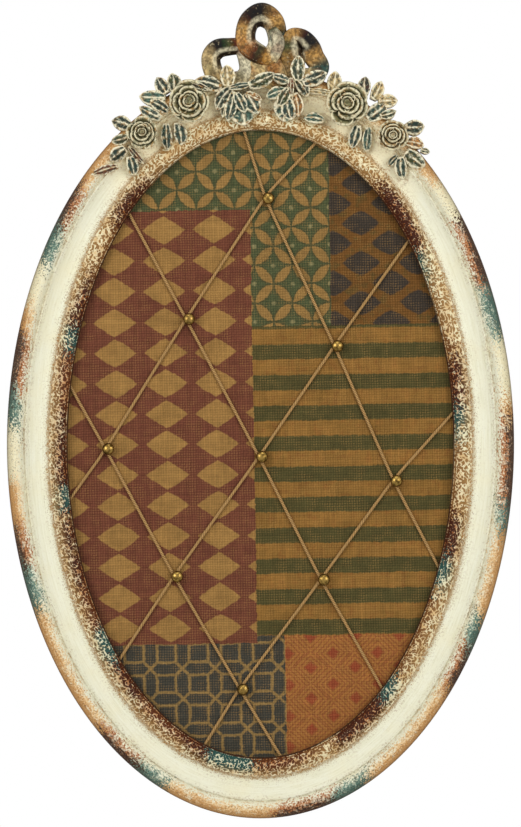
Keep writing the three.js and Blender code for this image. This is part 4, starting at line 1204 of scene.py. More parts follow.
@dataclass
class Moulding:
    """The cast oval ring: sight lip, winding-cut band, cove, groove and rounded rim."""

    leaves: Sequence[tuple[Pair, Pair, float]] = ()
    steps: int = 1500
    band_steps: int = 2600
    band_start: float = 0.04
    band_end: float = 0.315
    cut_size: float = 2.3
    cut_depth: float = 0.55
    band_rows: int = 28
    cut_seed: int = 1
    # Front outline: share of the width, share of the relief
    outline: Sequence[Pair] = (
        (0, 0.02), (0.012, 0.12), (0.032, 0.14), (0.05, 0.22), (0.1, 0.4), (0.16, 0.46), (0.22, 0.38),
        (0.275, 0.2), (0.295, 0.18), (0.315, 0.15), (0.335, 0.06), (0.42, 0), (0.54, 0.12),
        (0.64, 0.38), (0.685, 0.6), (0.705, 0.49), (0.72, 0.54), (0.75, 0.76), (0.8, 0.95), (0.87, 1),
        (0.93, 0.85), (0.975, 0.48), (0.995, 0.14), (1, 0),
    )

    def front(self) -> list[Pair]:
        """Give the front outline as across and depth in millimetres, from the sight edge outwards."""
        line = smooth_line(self.outline, 2)[:-1]
        return [(min(max(a, 0), 1) * MOULDING_WIDTH, LIP_FRONT + RELIEF * d) for a, d in line]

    def ring_section(self) -> list[Pair]:
        """Give the closed outline of the ring, a little low under the band.

        Returns:
            Across and depth of each corner, in millimetres.
        """
        fine = []
        for a, d in self.front():
            share = a / MOULDING_WIDTH
            low = 0.9 * ease(0.045, 0.06, share) * (1 - ease(0.3, 0.315, share))
            if not fine or a - fine[-1][0] > 0.35 or a < 2:
                fine.append((a, d - low))
        side = [(MOULDING_WIDTH, LIP_FRONT), (MOULDING_WIDTH, 1.2)]
        rear = [(MOULDING_WIDTH - 1.2, 0), (REBATE + 0.4, 0), (REBATE, 0.4)]
        rebate = [(REBATE, LIP_BACK), (0.5, LIP_BACK), (0, LIP_BACK + 0.5)]
        return fine + side + rear + rebate

    def band_section(self) -> list[Pair]:
        """Give the closed outline of the band: a fine front and a back sunk in the ring.

        Returns:
            Across and depth of each corner, in millimetres.
        """
        across, depth = zip(*self.front())
        shares = np.linspace(self.band_start, self.band_end, self.band_rows)
        front = [
            (share * MOULDING_WIDTH, float(np.interp(share * MOULDING_WIDTH, across, depth)))
            for share in shares
        ]
        first, last = front[0], front[-1]
        front[0], front[-1] = (first[0], first[1] - 0.25), (last[0], last[1] - 0.25)
        return [*front, (last[0] - 0.3, last[1] - 1.6), (first[0] + 0.3, first[1] - 1.6)]

    def winding(self, point: Vector) -> float:
        """Give how far a point of the band lies from a winding ridge: 0 on it, about 0.5 at most."""
        warp = noise.noise_vector(point / (4.0 * MM)) * (0.8 * MM)
        return abs(noise.noise((point + warp) / (self.cut_size * MM)))

    def wash_at(self, spots: np.ndarray) -> np.ndarray:
        """Give how much wash and painted shade lies at places near the crest's leaves, from 0 to 1.

        Args:
            spots: places in millimetres, one a row.

        Returns:
            A share for each place.
        """
        near = np.full(len(spots), 99.0)
        for base, tip, width in self.leaves:
            start, run = np.array(base), np.subtract(tip, base)
            along = np.clip(((spots - start) @ run) / max(run @ run, 1e-9), 0, 1)
            gap = np.linalg.norm(spots - start - along[:, None] * run, axis=1) - width * 0.42
            near = np.minimum(near, gap)
        share = np.clip((2.6 - near) / 2.6, 0, 1)
        return share * share * (3 - 2 * share)

    def loft(self, name: str, section: Sequence[Pair], steps: int, cut: bool) -> None:
        """Carry a closed section round the oval and mark its width shares, cuts, and wash with painted shade.

        Args:
            name: name of the piece.
            section: across and depth of each corner.
            steps: steps round the oval.
            cut: whether its front takes the winding cuts.
        """
        count = len(section)
        bm = bmesh.new()
        across = bm.verts.layers.float.new("across")
        worm = bm.verts.layers.float.new("worm")
        wash = bm.verts.layers.float.new("wash")

        def place(column: int, row: int) -> Vector:
            """Give a point of the surface before it is cut.

            Args:
                column: step round the section.
                row: step along the line.

            Returns:
                The point in the frame's metres.
            """
            reach, depth = section[column % count]
            x, z = on_oval(turn_at(row, steps), reach)
            return at(x, depth, z)

        rows = grid_of(bm, count, steps, place)
        stains = self.wash_at(np.array([(v.co.x / MM, v.co.z / MM) for verts in rows for v in verts]))
        for row, verts in enumerate(rows):
            for column, vert in enumerate(verts):
                share = section[column % count][0] / MOULDING_WIDTH
                vert[across] = share
                vert[wash] = stains[row * (count + 1) + column]
                vert[worm] = 1.0
                if cut and 0 < column % count < self.band_rows - 1:
                    vert[worm] = self.winding(vert.co)
                    zone = ease(0.04, 0.065, share) * (1 - ease(0.27, 0.31, share))
                    vert.co.y += zone * self.cut_depth * ease(0.06, 0.24, vert[worm]) * MM
        close_up(bm)
        piece(name, bm, MOULDING_PAINT, ["frame_ring"])

    def build(self) -> None:
        """Make the ring and the cut band that lies in it."""
        # Unless it is given a seed, noise_vector takes one from the clock and the cuts differ each run
        noise.seed_set(self.cut_seed)
        self.loft("oval_moulding", self.ring_section(), self.steps, False)
        self.loft("winding_band", self.band_section(), self.band_steps, True)


@dataclass
class Board:
    """The padded board: back panel, fibre core, foam and the printed cloth wrapped over them."""

    steps: int = 260
    hem: float = 14.0
    pillow: float = 1.1
    dimple: float = 0.5
    tacks: Sequence[Pair] = ()
    runs: Sequence[tuple[Pair, Pair]] = ()

    def swell(self, x: float, z: float, across: float) -> float:
        """Give how far the padding pushes the cloth forward at a place, in millimetres.

        Args:
            x: sideways place in millimetres.
            z: upward place in millimetres.
            across: how far outside the sight edge it lies.

        Returns:
            The rise in millimetres.
        """
        near = 1e9
        for (x0, z0), (x1, z1) in self.runs:
            length = math.hypot(x1 - x0, z1 - z0)
            near = min(near, abs((x - x0) * (z1 - z0) - (z - z0) * (x1 - x0)) / length)
        edge = ease(-2.0, -30.0, across)
        tack = min(math.hypot(x - a, z - b) for a, b in self.tacks)
        return edge * (self.pillow * ease(1.0, 24.0, near) - self.dimple * (1 - ease(2.0, 9.0, tack)))

    def build_cloth(self) -> None:
        """Make the cloth: one oval sheet turned over the board's edge, with its hem behind."""
        half = (CLOTH_BACK + CLOTH_FRONT) / 2
        rim = SIGHT_HALF_WIDTH + BOARD_OVERLAP - 0.3
        flat = [(radius, half) for radius in np.linspace(0, rim - 1.4, 64)]
        wrap = [(rim - 0.5, half - 0.25), (rim - 0.05, half - 0.9), (rim, half - 2.2), (rim, 6.0)]
        tail = [(rim, HEM_BACK + 1.2), (rim - 0.4, HEM_BACK + 0.45), (rim - 1.2, HEM_BACK + 0.3)]
        back = [(rim - reach, HEM_BACK + 0.3) for reach in (5.0, 9.0, self.hem)]
        bm = turned(flat + wrap + tail + back, self.steps, outwards=False)
        for vert in bm.verts:
            share = math.hypot(vert.co.x, vert.co.z) / (rim * MM)
            front = -vert.co.y / MM > half - 0.1
            angle = math.atan2(vert.co.x, vert.co.z)
            if front:
                outer_x, outer_z = on_oval(angle, rim - SIGHT_HALF_WIDTH)
                x, z = outer_x * share, outer_z * share
                vert.co.x, vert.co.z = x * MM, z * MM
                vert.co.y -= self.swell(x, z, across_at(x, z)) * MM
            else:
                x, z = on_oval(angle, math.hypot(vert.co.x, vert.co.z) / MM - SIGHT_HALF_WIDTH)
                vert.co.x, vert.co.z = x * MM, z * MM
        bmesh.ops.recalc_face_normals(bm, faces=bm.faces)
        cloth = piece("burlap_cover", bm, BURLAP, ["fabric_cover"])
        thick = cloth.modifiers.new("thickness", "SOLIDIFY")
        thick.thickness = (CLOTH_FRONT - CLOTH_BACK) * MM
        thick.offset = 0.0

    def build_plate(
        self,
        name: str,
        across: float,
        back: float,
        front: float,
        round_off: float,
        finish: Finish,
        solid: str,
    ) -> bpy.types.Object:
        """Make one oval layer with its edges rounded over.

        Args:
            name: name of the piece.
            across: its reach outside the sight edge.
            back: depth of its back.
            front: depth of its front.
            round_off: radius of its edges.
            finish: what it is made of.
            solid: the plain solid that it stands for.

        Returns:
            The new piece.
        """
        radius = SIGHT_HALF_WIDTH + across
        outline = [
            (0, back), (radius * 0.5, back), (radius - round_off, back),
            (radius - 0.3 * round_off, back + 0.3 * round_off), (radius, back + round_off),
            (radius, front - round_off), (radius - 0.3 * round_off, front - 0.3 * round_off),
            (radius - round_off, front), (radius * 0.5, front), (0, front),
        ]
        bm = turned(outline, 180)
        for vert in bm.verts:
            share = math.hypot(vert.co.x, vert.co.z) / MM / radius
            x, z = on_oval(math.atan2(vert.co.x, vert.co.z), across)
            vert.co.x, vert.co.z = x * share * MM, z * share * MM
        return piece(name, bm, finish, [solid])

    def build(self) -> None:
        """Make the four layers."""
        self.build_plate(
            "back_sheet", REBATE - 0.6, 0.0, PANEL_FRONT, 0.3, HARDBOARD, "back_panel"
        )
        self.build_plate(
            "fibre_core", CORE_OVERLAP, CORE_BACK, CORE_FRONT, 0.4, FIBREBOARD, "board_core"
        )
        foam = self.build_plate(
            "foam_padding",
            CORE_OVERLAP,
            FOAM_BACK,
            FOAM_FRONT,
            1.0,
            FOAM,
            "foam_pad",
        )
        self.build_cloth()


@dataclass
class Tacks:
    """Nine brass dome tacks that pin the twine's crossings."""

    places: Sequence[Pair] = tuple(
        (x * SIGHT_HALF_WIDTH, z * SIGHT_HALF_HEIGHT)
        for x, z in (
            (0.04, 0.783), (-0.37, 0.398), (0.4, 0.312), (-0.789, -0.016), (0.008, -0.041), (0.706, -0.118),
            (-0.432, -0.423), (0.329, -0.433), (-0.091, -0.783),
        )
    )
    radius: float = 4.8
    rim: float = 17.7
    top: float = 21.1
    tip: float = 6.5
    shank: float = 0.6

    def build(self) -> None:
        """Make each tack as one turned shape with a hollow dome."""
        r, rise = self.radius, self.top - self.rim
        dome = [(r * math.sin(t), self.rim + rise * math.cos(t)) for t in np.linspace(0, math.pi / 2, 12)]
        inside = [
            (r * 0.9 * math.sin(t), self.rim + (rise - 0.45) * math.cos(t))
            for t in np.linspace(math.pi / 2, 0.3, 7)
        ]
        shank = [(self.shank, self.top - 0.9), (self.shank, self.tip + 2.0), (0.0, self.tip)]
        for number, (x, z) in enumerate(self.places, 1):
            bm = turned([*dome, (r - 0.12, self.rim - 0.12), *inside, *shank], 36)
            bmesh.ops.translate(bm, verts=bm.verts, vec=at(x, 0, z))
            piece(f"dome_tack_{number}", bm, AGED_BRASS, [f"tack_{number}"])


@dataclass
class Run:
    """One string of the lattice, from edge to edge past its tacks."""

    name: str
    start: float
    tacks: Sequence[int]
    end: float
    over: bool


@dataclass
class TwineLattice:
    """Six strings of three-ply twine that cross under the tacks and turn down the board's edge."""

    tacks: Sequence[Pair]
    diameter: float = 2.5
    lay: float = 8.0
    depth: float = 13.95
    offset: float = 2.15
    hump_run: float = 9.0
    hump_rise: float = 2.8
    corner: float = 1.55
    runs: Sequence[Run] = (
        Run("twine_falling_1", -4.8, (0, 2, 5), 112.8, False),
        Run("twine_falling_2", -42.9, (1, 4, 7), 141.0, False),
        Run("twine_falling_3", -79.8, (3, 6, 8), 174.2, False),
        Run("twine_rising_1", -99.8, (3, 1, 0), 16.4, True),
        Run("twine_rising_2", -133.2, (6, 4, 2), 49.9, True),
        Run("twine_rising_3", -163.4, (8, 7, 5), 84.6, True),
    )

    def stops(self, run: Run) -> list[Pair]:
        """Give a string's stops: sight edge, passes beside its tacks, sight edge.

        Args:
            run: the string.

        Returns:
            Its stops in millimetres.
        """
        ends = [on_oval(math.radians(run.start), 0), on_oval(math.radians(run.end), 0)]
        marks = [ends[0], *[self.tacks[i] for i in run.tacks], ends[1]]
        passes = []
        for before, here, after in zip(marks, marks[1:], marks[2:]):
            dx, dz = after[0] - before[0], after[1] - before[1]
            reach = self.offset * (1 if run.over else -1) / math.hypot(dx, dz)
            passes.append((here[0] - dz * reach, here[1] + dx * reach))
        return [ends[0], *passes, ends[1]]

    def crossing(self, stops: Sequence[Pair], i: int, others: Sequence[Pair], j: int) -> Pair:
        """Give where one string's stretch after stop i crosses another's after stop j.

        Args:
            stops: stops of the one string.
            i: its stop before the crossing.
            others: stops of the other string.
            j: its stop before the crossing.

        Returns:
            The crossing in millimetres.
        """
        (px, pz), (rx, rz) = stops[i], stops[i + 1]
        (qx, qz), (sx, sz) = others[j], others[j + 1]
        spread = (rx - px) * (sz - qz) - (rz - pz) * (sx - qx)
        share = ((qx - px) * (sz - qz) - (qz - pz) * (sx - qx)) / spread
        return px + (rx - px) * share, pz + (rz - pz) * share

    def string_end(self, last: Pair, sight: float) -> list[Vector]:
        """Give the points of an end from over the board down its edge.

        Args:
            last: last stop over the board.
            sight: where it passes the sight edge, in degrees.

        Returns:
            Width, depth and height of each point.
        """
        end = on_oval(math.radians(sight), 0)
        low, high = 0.0, 2.0
        for _ in range(40):
            middle = (low + high) / 2
            x, z = last[0] + (end[0] - last[0]) * middle, last[1] + (end[1] - last[1]) * middle
            low, high = (middle, high) if across_at(x, z) < BOARD_OVERLAP else (low, middle)
        x, z = last[0] + (end[0] - last[0]) * low, last[1] + (end[1] - last[1]) * low
        angle = math.atan2(x / (SIGHT_HALF_WIDTH + BOARD_OVERLAP), z / (SIGHT_HALF_HEIGHT + BOARD_OVERLAP))
        points = []
        for outward, forward in ((-0.4, 1), (0.62, 0.72), (1, -0.26)):
            px, pz = on_oval(angle, BOARD_OVERLAP + self.corner * outward)
            points.append(Vector((px, CLOTH_FRONT + self.corner * forward, pz)))
        px, pz = on_oval(angle, BOARD_OVERLAP + self.corner)
        return [*points, Vector((px, HEM_BACK + self.diameter / 2, pz))]

    def route(self, run: Run) -> list[Vector]:
        """Give the middle line of one string as width, depth and height in millimetres.

        Args:
            run: the string.

        Returns:
            The points from one end to the other.
        """
        stops = self.stops(run)
        line = self.string_end(stops[1], run.start)[::-1]
        for i, tack in enumerate(run.tacks):
            if not run.over:
                line.append(Vector((stops[i + 1][0], self.depth, stops[i + 1][1])))
                continue
            under = next(other for other in self.runs if not other.over and tack in other.tacks)
            x, z = self.crossing(stops, i + 1, self.stops(under), list(under.tacks).index(tack) + 1)
            dx, dz = stops[i + 2][0] - stops[i][0], stops[i + 2][1] - stops[i][1]
            length = math.hypot(dx, dz)
            for along, rise in (
                (-1, 0), (-0.62, 0.32), (-0.28, 0.84), (0, 1), (0.28, 0.84), (0.62, 0.32), (1, 0)
            ):
                reach = self.hump_run * along / length
                line.append(Vector((x + dx * reach, self.depth + self.hump_rise * rise, z + dz * reach)))
        return line + self.string_end(stops[-2], run.end)

    def even_points(self, line: Sequence[Vector], step: float) -> list[Vector]:
        """Give points at even steps along a line whose corners are eased a little.

        Args:
            line: the points to go through.
            step: length of a step in millimetres.

        Returns:
            The even points.
        """
        dense = [a.lerp(b, t / 12) for a, b in zip(line, line[1:]) for t in range(12)] + [line[-1]]
        for _ in range(3):
            dense = [
                dense[0],
                *[(a + 2 * b + c) / 4 for a, b, c in zip(dense, dense[1:], dense[2:])],
                dense[-1],
            ]
        lengths = np.cumsum([0.0, *[(b - a).length for a, b in zip(dense, dense[1:])]])
        marks = np.linspace(0, lengths[-1], int(lengths[-1] / step) + 1)
        axes = [np.interp(marks, lengths, [p[axis] for p in dense]) for axis in range(3)]
        return [Vector(p) for p in zip(*axes)]

    def build(self) -> None:
        """Make each string as a twisted three-lobed tube."""
        around, step = 15, 0.75
        for run in self.runs:
            points = self.even_points(self.route(run), step)
            bm = bmesh.new()
            fibre = bm.verts.layers.float_vector.new("fibre")
            ply = bm.verts.layers.float.new("ply")
            ends = zip([points[0], *points[:-1]], [*points[1:], points[-1]])
            ways = [(b - a).normalized() for a, b in ends]
            lobes = [0.5 + 0.5 * math.cos(3 * 2 * math.pi * i / around) for i in range(around)]

            def place(column: int, row: int) -> Vector:
                """Give a point of the twisted tube."""
                way = ways[row]
                side = way.cross(Vector((0, 1, 0))).normalized()
                front = side.cross(way).normalized()
                own = turn_at(column, around)
                turn = own - 2 * math.pi * row * step / self.lay
                radius = self.diameter / 2 * (0.76 + 0.24 * lobes[column % around])
                point = points[row] + (side * math.cos(turn) + front * math.sin(turn)) * radius
                return at(*point)

            rows = grid_of(bm, around, len(points) - 1, place)
            for row, verts in enumerate(rows):
                for column, vert in enumerate(verts):
                    own = turn_at(column, around)
                    vert[fibre] = (
                        math.cos(own),
                        math.sin(own),
                        row * step * 0.12 + self.runs.index(run) * 1.7,
                    )
                    vert[ply] = lobes[column % around]
            close_up(bm, fill=True)
            piece(run.name.replace("twine", "jute_string"), bm, TWINE, [run.name])


def carving_layers(bm: BMesh) -> tuple:
    """Give the glaze and panel layers of a carving in the making."""
    return bm.verts.layers.float_color.new("glaze"), bm.verts.layers.float.new("panel")


def glaze_rows(
    rows: Sequence[Sequence], layers: tuple, code: str, marks: Callable[[int, int], float]
) -> None:
    """Lay one glaze over the rows of a grid, with its own panel mark at each vertex.

    Args:
        rows: the rows of vertices.
        layers: glaze and panel layers of the mesh.
        code: the glaze as #rrggbb.
        marks: gives the panel mark for a column and a row.
    """
    glaze, panel = layers
    colour = linear(code)
    for row, verts in enumerate(rows):
        for column, vert in enumerate(verts):
            vert[glaze] = colour
            vert[panel] = marks(column, row)


@dataclass
class Rose:
    """One cast flower: rings of overlapping petals round a spiral heart."""

    name: str
    place: Pair
    radius_share: float
    turn: float
    rings: Sequence[tuple[int, float, float, float]] = (
        (5, 1.0, 0.36, 0.16), (4, 0.76, 0.62, 0.2), (3, 0.52, 0.85, 0.2), (2, 0.3, 1.0, 0.16),
    )
    plane: float = CREST_PLANE + 0.3
    height: float = 12.0
    rim_line: float = 1.2
    rim_width: float = 1.15
    hue: str = "#6a6845"

    def radius(self) -> float:
        """Give the flower's radius in millimetres."""
        return MOULDING_WIDTH * self.radius_share

    def centre(self) -> Pair:
        """Give the flower's middle in millimetres."""
        return OUTER_HALF_WIDTH * self.place[0], OUTER_HALF_HEIGHT * self.place[1]

    def petals(self) -> list[tuple[float, float, float, float, float]]:
        """Give each petal's middle angle, half angle, reach, rim height and dip, from the outside in.

        Returns:
            One row for each petal.
        """
        chance = random.Random(self.name)
        made = []
        for ring, (count, reach, rim, dip) in enumerate(self.rings):
            start = self.turn + ring * 1.1
            for i in range(count):
                middle = start + 2 * math.pi * i / count + chance.uniform(-0.3, 0.3)
                half = math.pi / count * chance.uniform(1.1, 1.55)
                lift = 0.07 * ((i * 2) % count) / count
                made.append((middle, half, reach * chance.uniform(0.88, 1.06), rim + lift, dip))
        return made

    def level(self, petals: Sequence[tuple], share: float, angle: float, outer: float) -> tuple[float, float]:
        """Give the height and the cup share at a radius share and an angle.

        Args:
            petals: rows of petals, from the outside in.
            share: share of the outline's reach.
            angle: turn from the top, in radians.
            outer: reach of the outline at that angle.

        Returns:
            The height share, and 0 on a rim up to 1 in a cup.
        """
        radius = share * outer
        best, cup = 0.1, 0.6
        for middle, half, reach, rim, dip in petals:
            away = (angle - middle + math.pi) % (2 * math.pi) - math.pi
            side = abs(away) / half
            if side >= 1:
                continue
            edge = reach * (1 - 0.1 * side**2 - 0.22 * side**6)
            t = radius / edge
            if t > 1:
                continue
            inner = 1 - ease(0.6, 0.9, t)
            roll = ease(0.9, 1.0, t)
            height = rim - dip * inner - 0.1 * roll**2 - 0.05 * side**2
            if height > best:
                from_rim = (edge - radius) * self.radius_share * MOULDING_WIDTH
                best, cup = height, 1 - math.exp(-(((from_rim - self.rim_line) / self.rim_width) ** 2))
        return best, cup

    def build(self) -> None:
        """Make the flower as one closed casting on the crest's plane."""
        around, out = 150, 46
        petals = self.petals()
        radius, centre = self.radius(), self.centre()
        bm = bmesh.new()
        layers = carving_layers(bm)
        marks: dict[tuple[int, int], float] = {}

        def outer(angle: float) -> float:
            """Give the outline's reach at an angle.

            Args:
                angle: turn from the top, in radians.

            Returns:
                A share of the flower's radius.
            """
            reach = 0.86
            for middle, half, far, _, _ in petals:
                away = abs((angle - middle + math.pi) % (2 * math.pi) - math.pi) / half
                if far > 0.9 and away < 1:
                    reach = max(reach, far * (1 - 0.1 * away**2 - 0.22 * away**6))
            return reach

        def place(column: int, row: int) -> Vector:
            """Give a point of the flower's front, its skirt or its back.

            Args:
                column: step round the section.
                row: step along the line.

            Returns:
                The point in the frame's metres.
            """
            angle = turn_at(column, around)
            share = min(row / out, 1.0)
            reach = outer(angle)
            if row <= out:
                level, cup = self.level(petals, share * 0.995, angle, reach)
                marks[(column, row)] = cup
                depth = self.plane + self.height * level
            else:
                share, depth = (0.97, self.plane + 0.6) if row == out + 1 else (0.9, self.plane - 4.0)
                marks[(column, row)] = 1.0
            x = centre[0] + radius * reach * share * math.sin(angle)
            z = centre[1] + radius * reach * share * math.cos(angle)
            return at(x, depth, z)

        rows = grid_of(bm, around, out + 2, place)
        glaze_rows(rows, layers, self.hue, lambda column, row: marks[(column, row)])
        close_up(bm, fill=True)
        piece(f"cast_{self.name}", bm, ROSE_GLAZE, [self.name], hollows=(4, 0.32))


@dataclass
class Blade:
    """One leaf or leafy petal: base, tip and width in millimetres, and how far it is lifted."""

    base: Pair
    tip: Pair
    width: float
    hue: Hue = Hue.TEAL
    lift: float = 0.0
    over_bow: bool = False


@dataclass
class Spray:
    """The leaves that lie round one flower or in the middle of the crest, and their low ground."""

    name: str
    solid: str
    blades: Sequence[Blade]
    middle: Pair = (0.0, 0.0)
    ground: Pair | None = None
    rise: float = 0.0
    bed: Sequence[Pair] = ((0, 0.5), (0.35, 0.3), (0.6, 0.5), (0.78, 1), (0.95, 1), (1.25, 0.8), (2, 0.8))
    edge_height: float = 0.8
    ridge_height: float = 3.0
    rise_over_bow: float = 3.0
    ground_panel: float = 0.1

    def bed_depth(self, x: float, z: float) -> float:
        """Give the depth of the bed under a leaf at a place."""
        return LIP_FRONT + RELIEF * read_shares(self.bed, across_at(x, z) / MOULDING_WIDTH)

    def build_blade(self, bm: BMesh, blade: Blade, layers: tuple, seed: int) -> None:
        """Add one leaf: raised rib, veins and rim, cupped panels and a pointed outline.

        Args:
            bm: mesh that takes it.
            blade: the leaf.
            layers: glaze and panel layers of the mesh.
            seed: start of its own random draws.
        """
        glaze, panel = layers
        chance = random.Random(seed)
        base, tip = Vector(blade.base), Vector(blade.tip)
        run = tip - base
        side = Vector((-run.y, run.x)).normalized()
        half_width = blade.width / 2
        bend = chance.uniform(-0.06, 0.06) * run.length
        tilt = chance.uniform(-0.5, 0.5)
        across, along = 18, 28
        back = 27.0 if blade.over_bow else CREST_BACK
        rise = self.rise + blade.lift + (self.rise_over_bow if blade.over_bow else 0)
        veins = max(2.4, run.length / 6.0)
        marks: dict[tuple[int, int], float] = {}

        def place(column: int, row: int) -> Vector:
            """Give a point of the leaf's front.

            Args:
                column: step round the section.
                row: step along the line.

            Returns:
                The point in the frame's metres.
            """
            share = row / along
            aside = column / across * 2 - 1
            apart = abs(aside)
            full = 0.5 + 0.5 * math.sin(math.pi * min(share / 1.04, 0.5)) if share < 0.52 else 1.0
            taper = (1 - ((max(share, 0.42) - 0.42) / 0.58) ** 2.3) ** 0.8 if share < 1 else 0.0
            reach = max(full * taper, 0.02)
            spot = base + run * share + side * (bend * math.sin(math.pi * share) + aside * half_width * reach)
            fullness = math.sin(math.pi * min(0.1 + share * 0.88, 1)) ** 0.6
            cup = 1 - apart**1.8
            vein = abs(((share * veins - apart * 0.9) % 1) - 0.5) * 2
            wobble = 0.2 * noise.noise(Vector((spot.x, spot.y, seed)) / 3.0)
            inside = ease(-0.04, 0.2 + 0.26 * (1 - share), apart + wobble * 0.4)
            inside *= ease(0.0, 0.12, share + wobble)
            inside *= 1 - ease(0.5 + wobble, 0.96 + wobble, apart)
            inside *= 1 - ease(0.78, 0.99, share)
            level = self.edge_height + (self.ridge_height - self.edge_height) * cup * fullness
            level += 0.9 * (1 - inside) - 0.2 * inside * ease(0.1, 0.5, vein)
            level += tilt * aside - 0.8 * share**3
            worn = 0.9 + 0.1 * ease(0.08, 0.4, vein)
            marks[(column, row)] = inside * worn * (1 - 0.3 * ease(0.6, 1.0, share))
            return at(spot.x, self.bed_depth(spot.x, spot.y) + rise + level, spot.y)

        rows = grid_of(bm, across, along, place)
        glaze_rows(rows, layers, blade.hue.value, lambda column, row: marks[(column, row)])
        inside_set = {vert for verts in rows for vert in verts}
        rims = [edge for edge in bm.edges if edge.is_boundary and edge.verts[0] in inside_set]
        wall = bmesh.ops.extrude_edge_only(bm, edges=rims)["geom"]
        # The side walls that drop to the bed are painted umber: painted shade under the leaf's edge
        for vert in (item for item in wall if isinstance(item, bmesh.types.BMVert)):
            vert.co.y = max(-back * MM, vert.co.y + 0.5 * MM)
            vert[glaze] = linear(Hue.UMBER.value)
            vert[panel] = 1.0
        edges = [item for item in wall if isinstance(item, bmesh.types.BMEdge) and item.is_boundary]
        bmesh.ops.holes_fill(bm, edges=edges, sides=0)

    def build_ground(self, bm: BMesh, layers: tuple) -> None:
        """Add the low mound that the leaves and the flower stand on.

        Args:
            bm: mesh that takes it.
            layers: glaze and panel layers of the mesh.
        """
        x0, z0 = self.middle
        half_x, half_z = self.ground
        around, out = 56, 8

        def place(column: int, row: int) -> Vector:
            """Give a point of the mound.

            Args:
                column: step round the section.
                row: step along the line.

            Returns:
                The point in the frame's metres.
            """
            angle = turn_at(column, around)
            share = min(row / out, 1)
            wave = 1 + 0.05 * math.sin(5 * angle + 1)
            x = x0 + half_x * share * wave * math.sin(angle)
            z = z0 + half_z * share * wave * math.cos(angle)
            top = CREST_PLANE + min(self.rise, 1.5) - 0.6 - 2.6 * share**3
            return at(x, CREST_BACK if row > out else top, z)

        rows = grid_of(bm, around, out + 1, place)
        glaze_rows(rows, layers, Hue.PALE_TEAL.value, lambda column, row: self.ground_panel)

    def build(self) -> None:
        """Make the whole spray."""
        bm = bmesh.new()
        layers = carving_layers(bm)
        if self.ground:
            self.build_ground(bm, layers)
            close_up(bm, fill=True, outwards=False)
        for number, blade in enumerate(self.blades):
            self.build_blade(bm, blade, layers, number * 31 + len(self.name))
        close_up(bm, apart=DOUBLES / 10)
        piece(self.name, bm, LEAF_GLAZE, [self.solid], hollows=(3, 0.4))


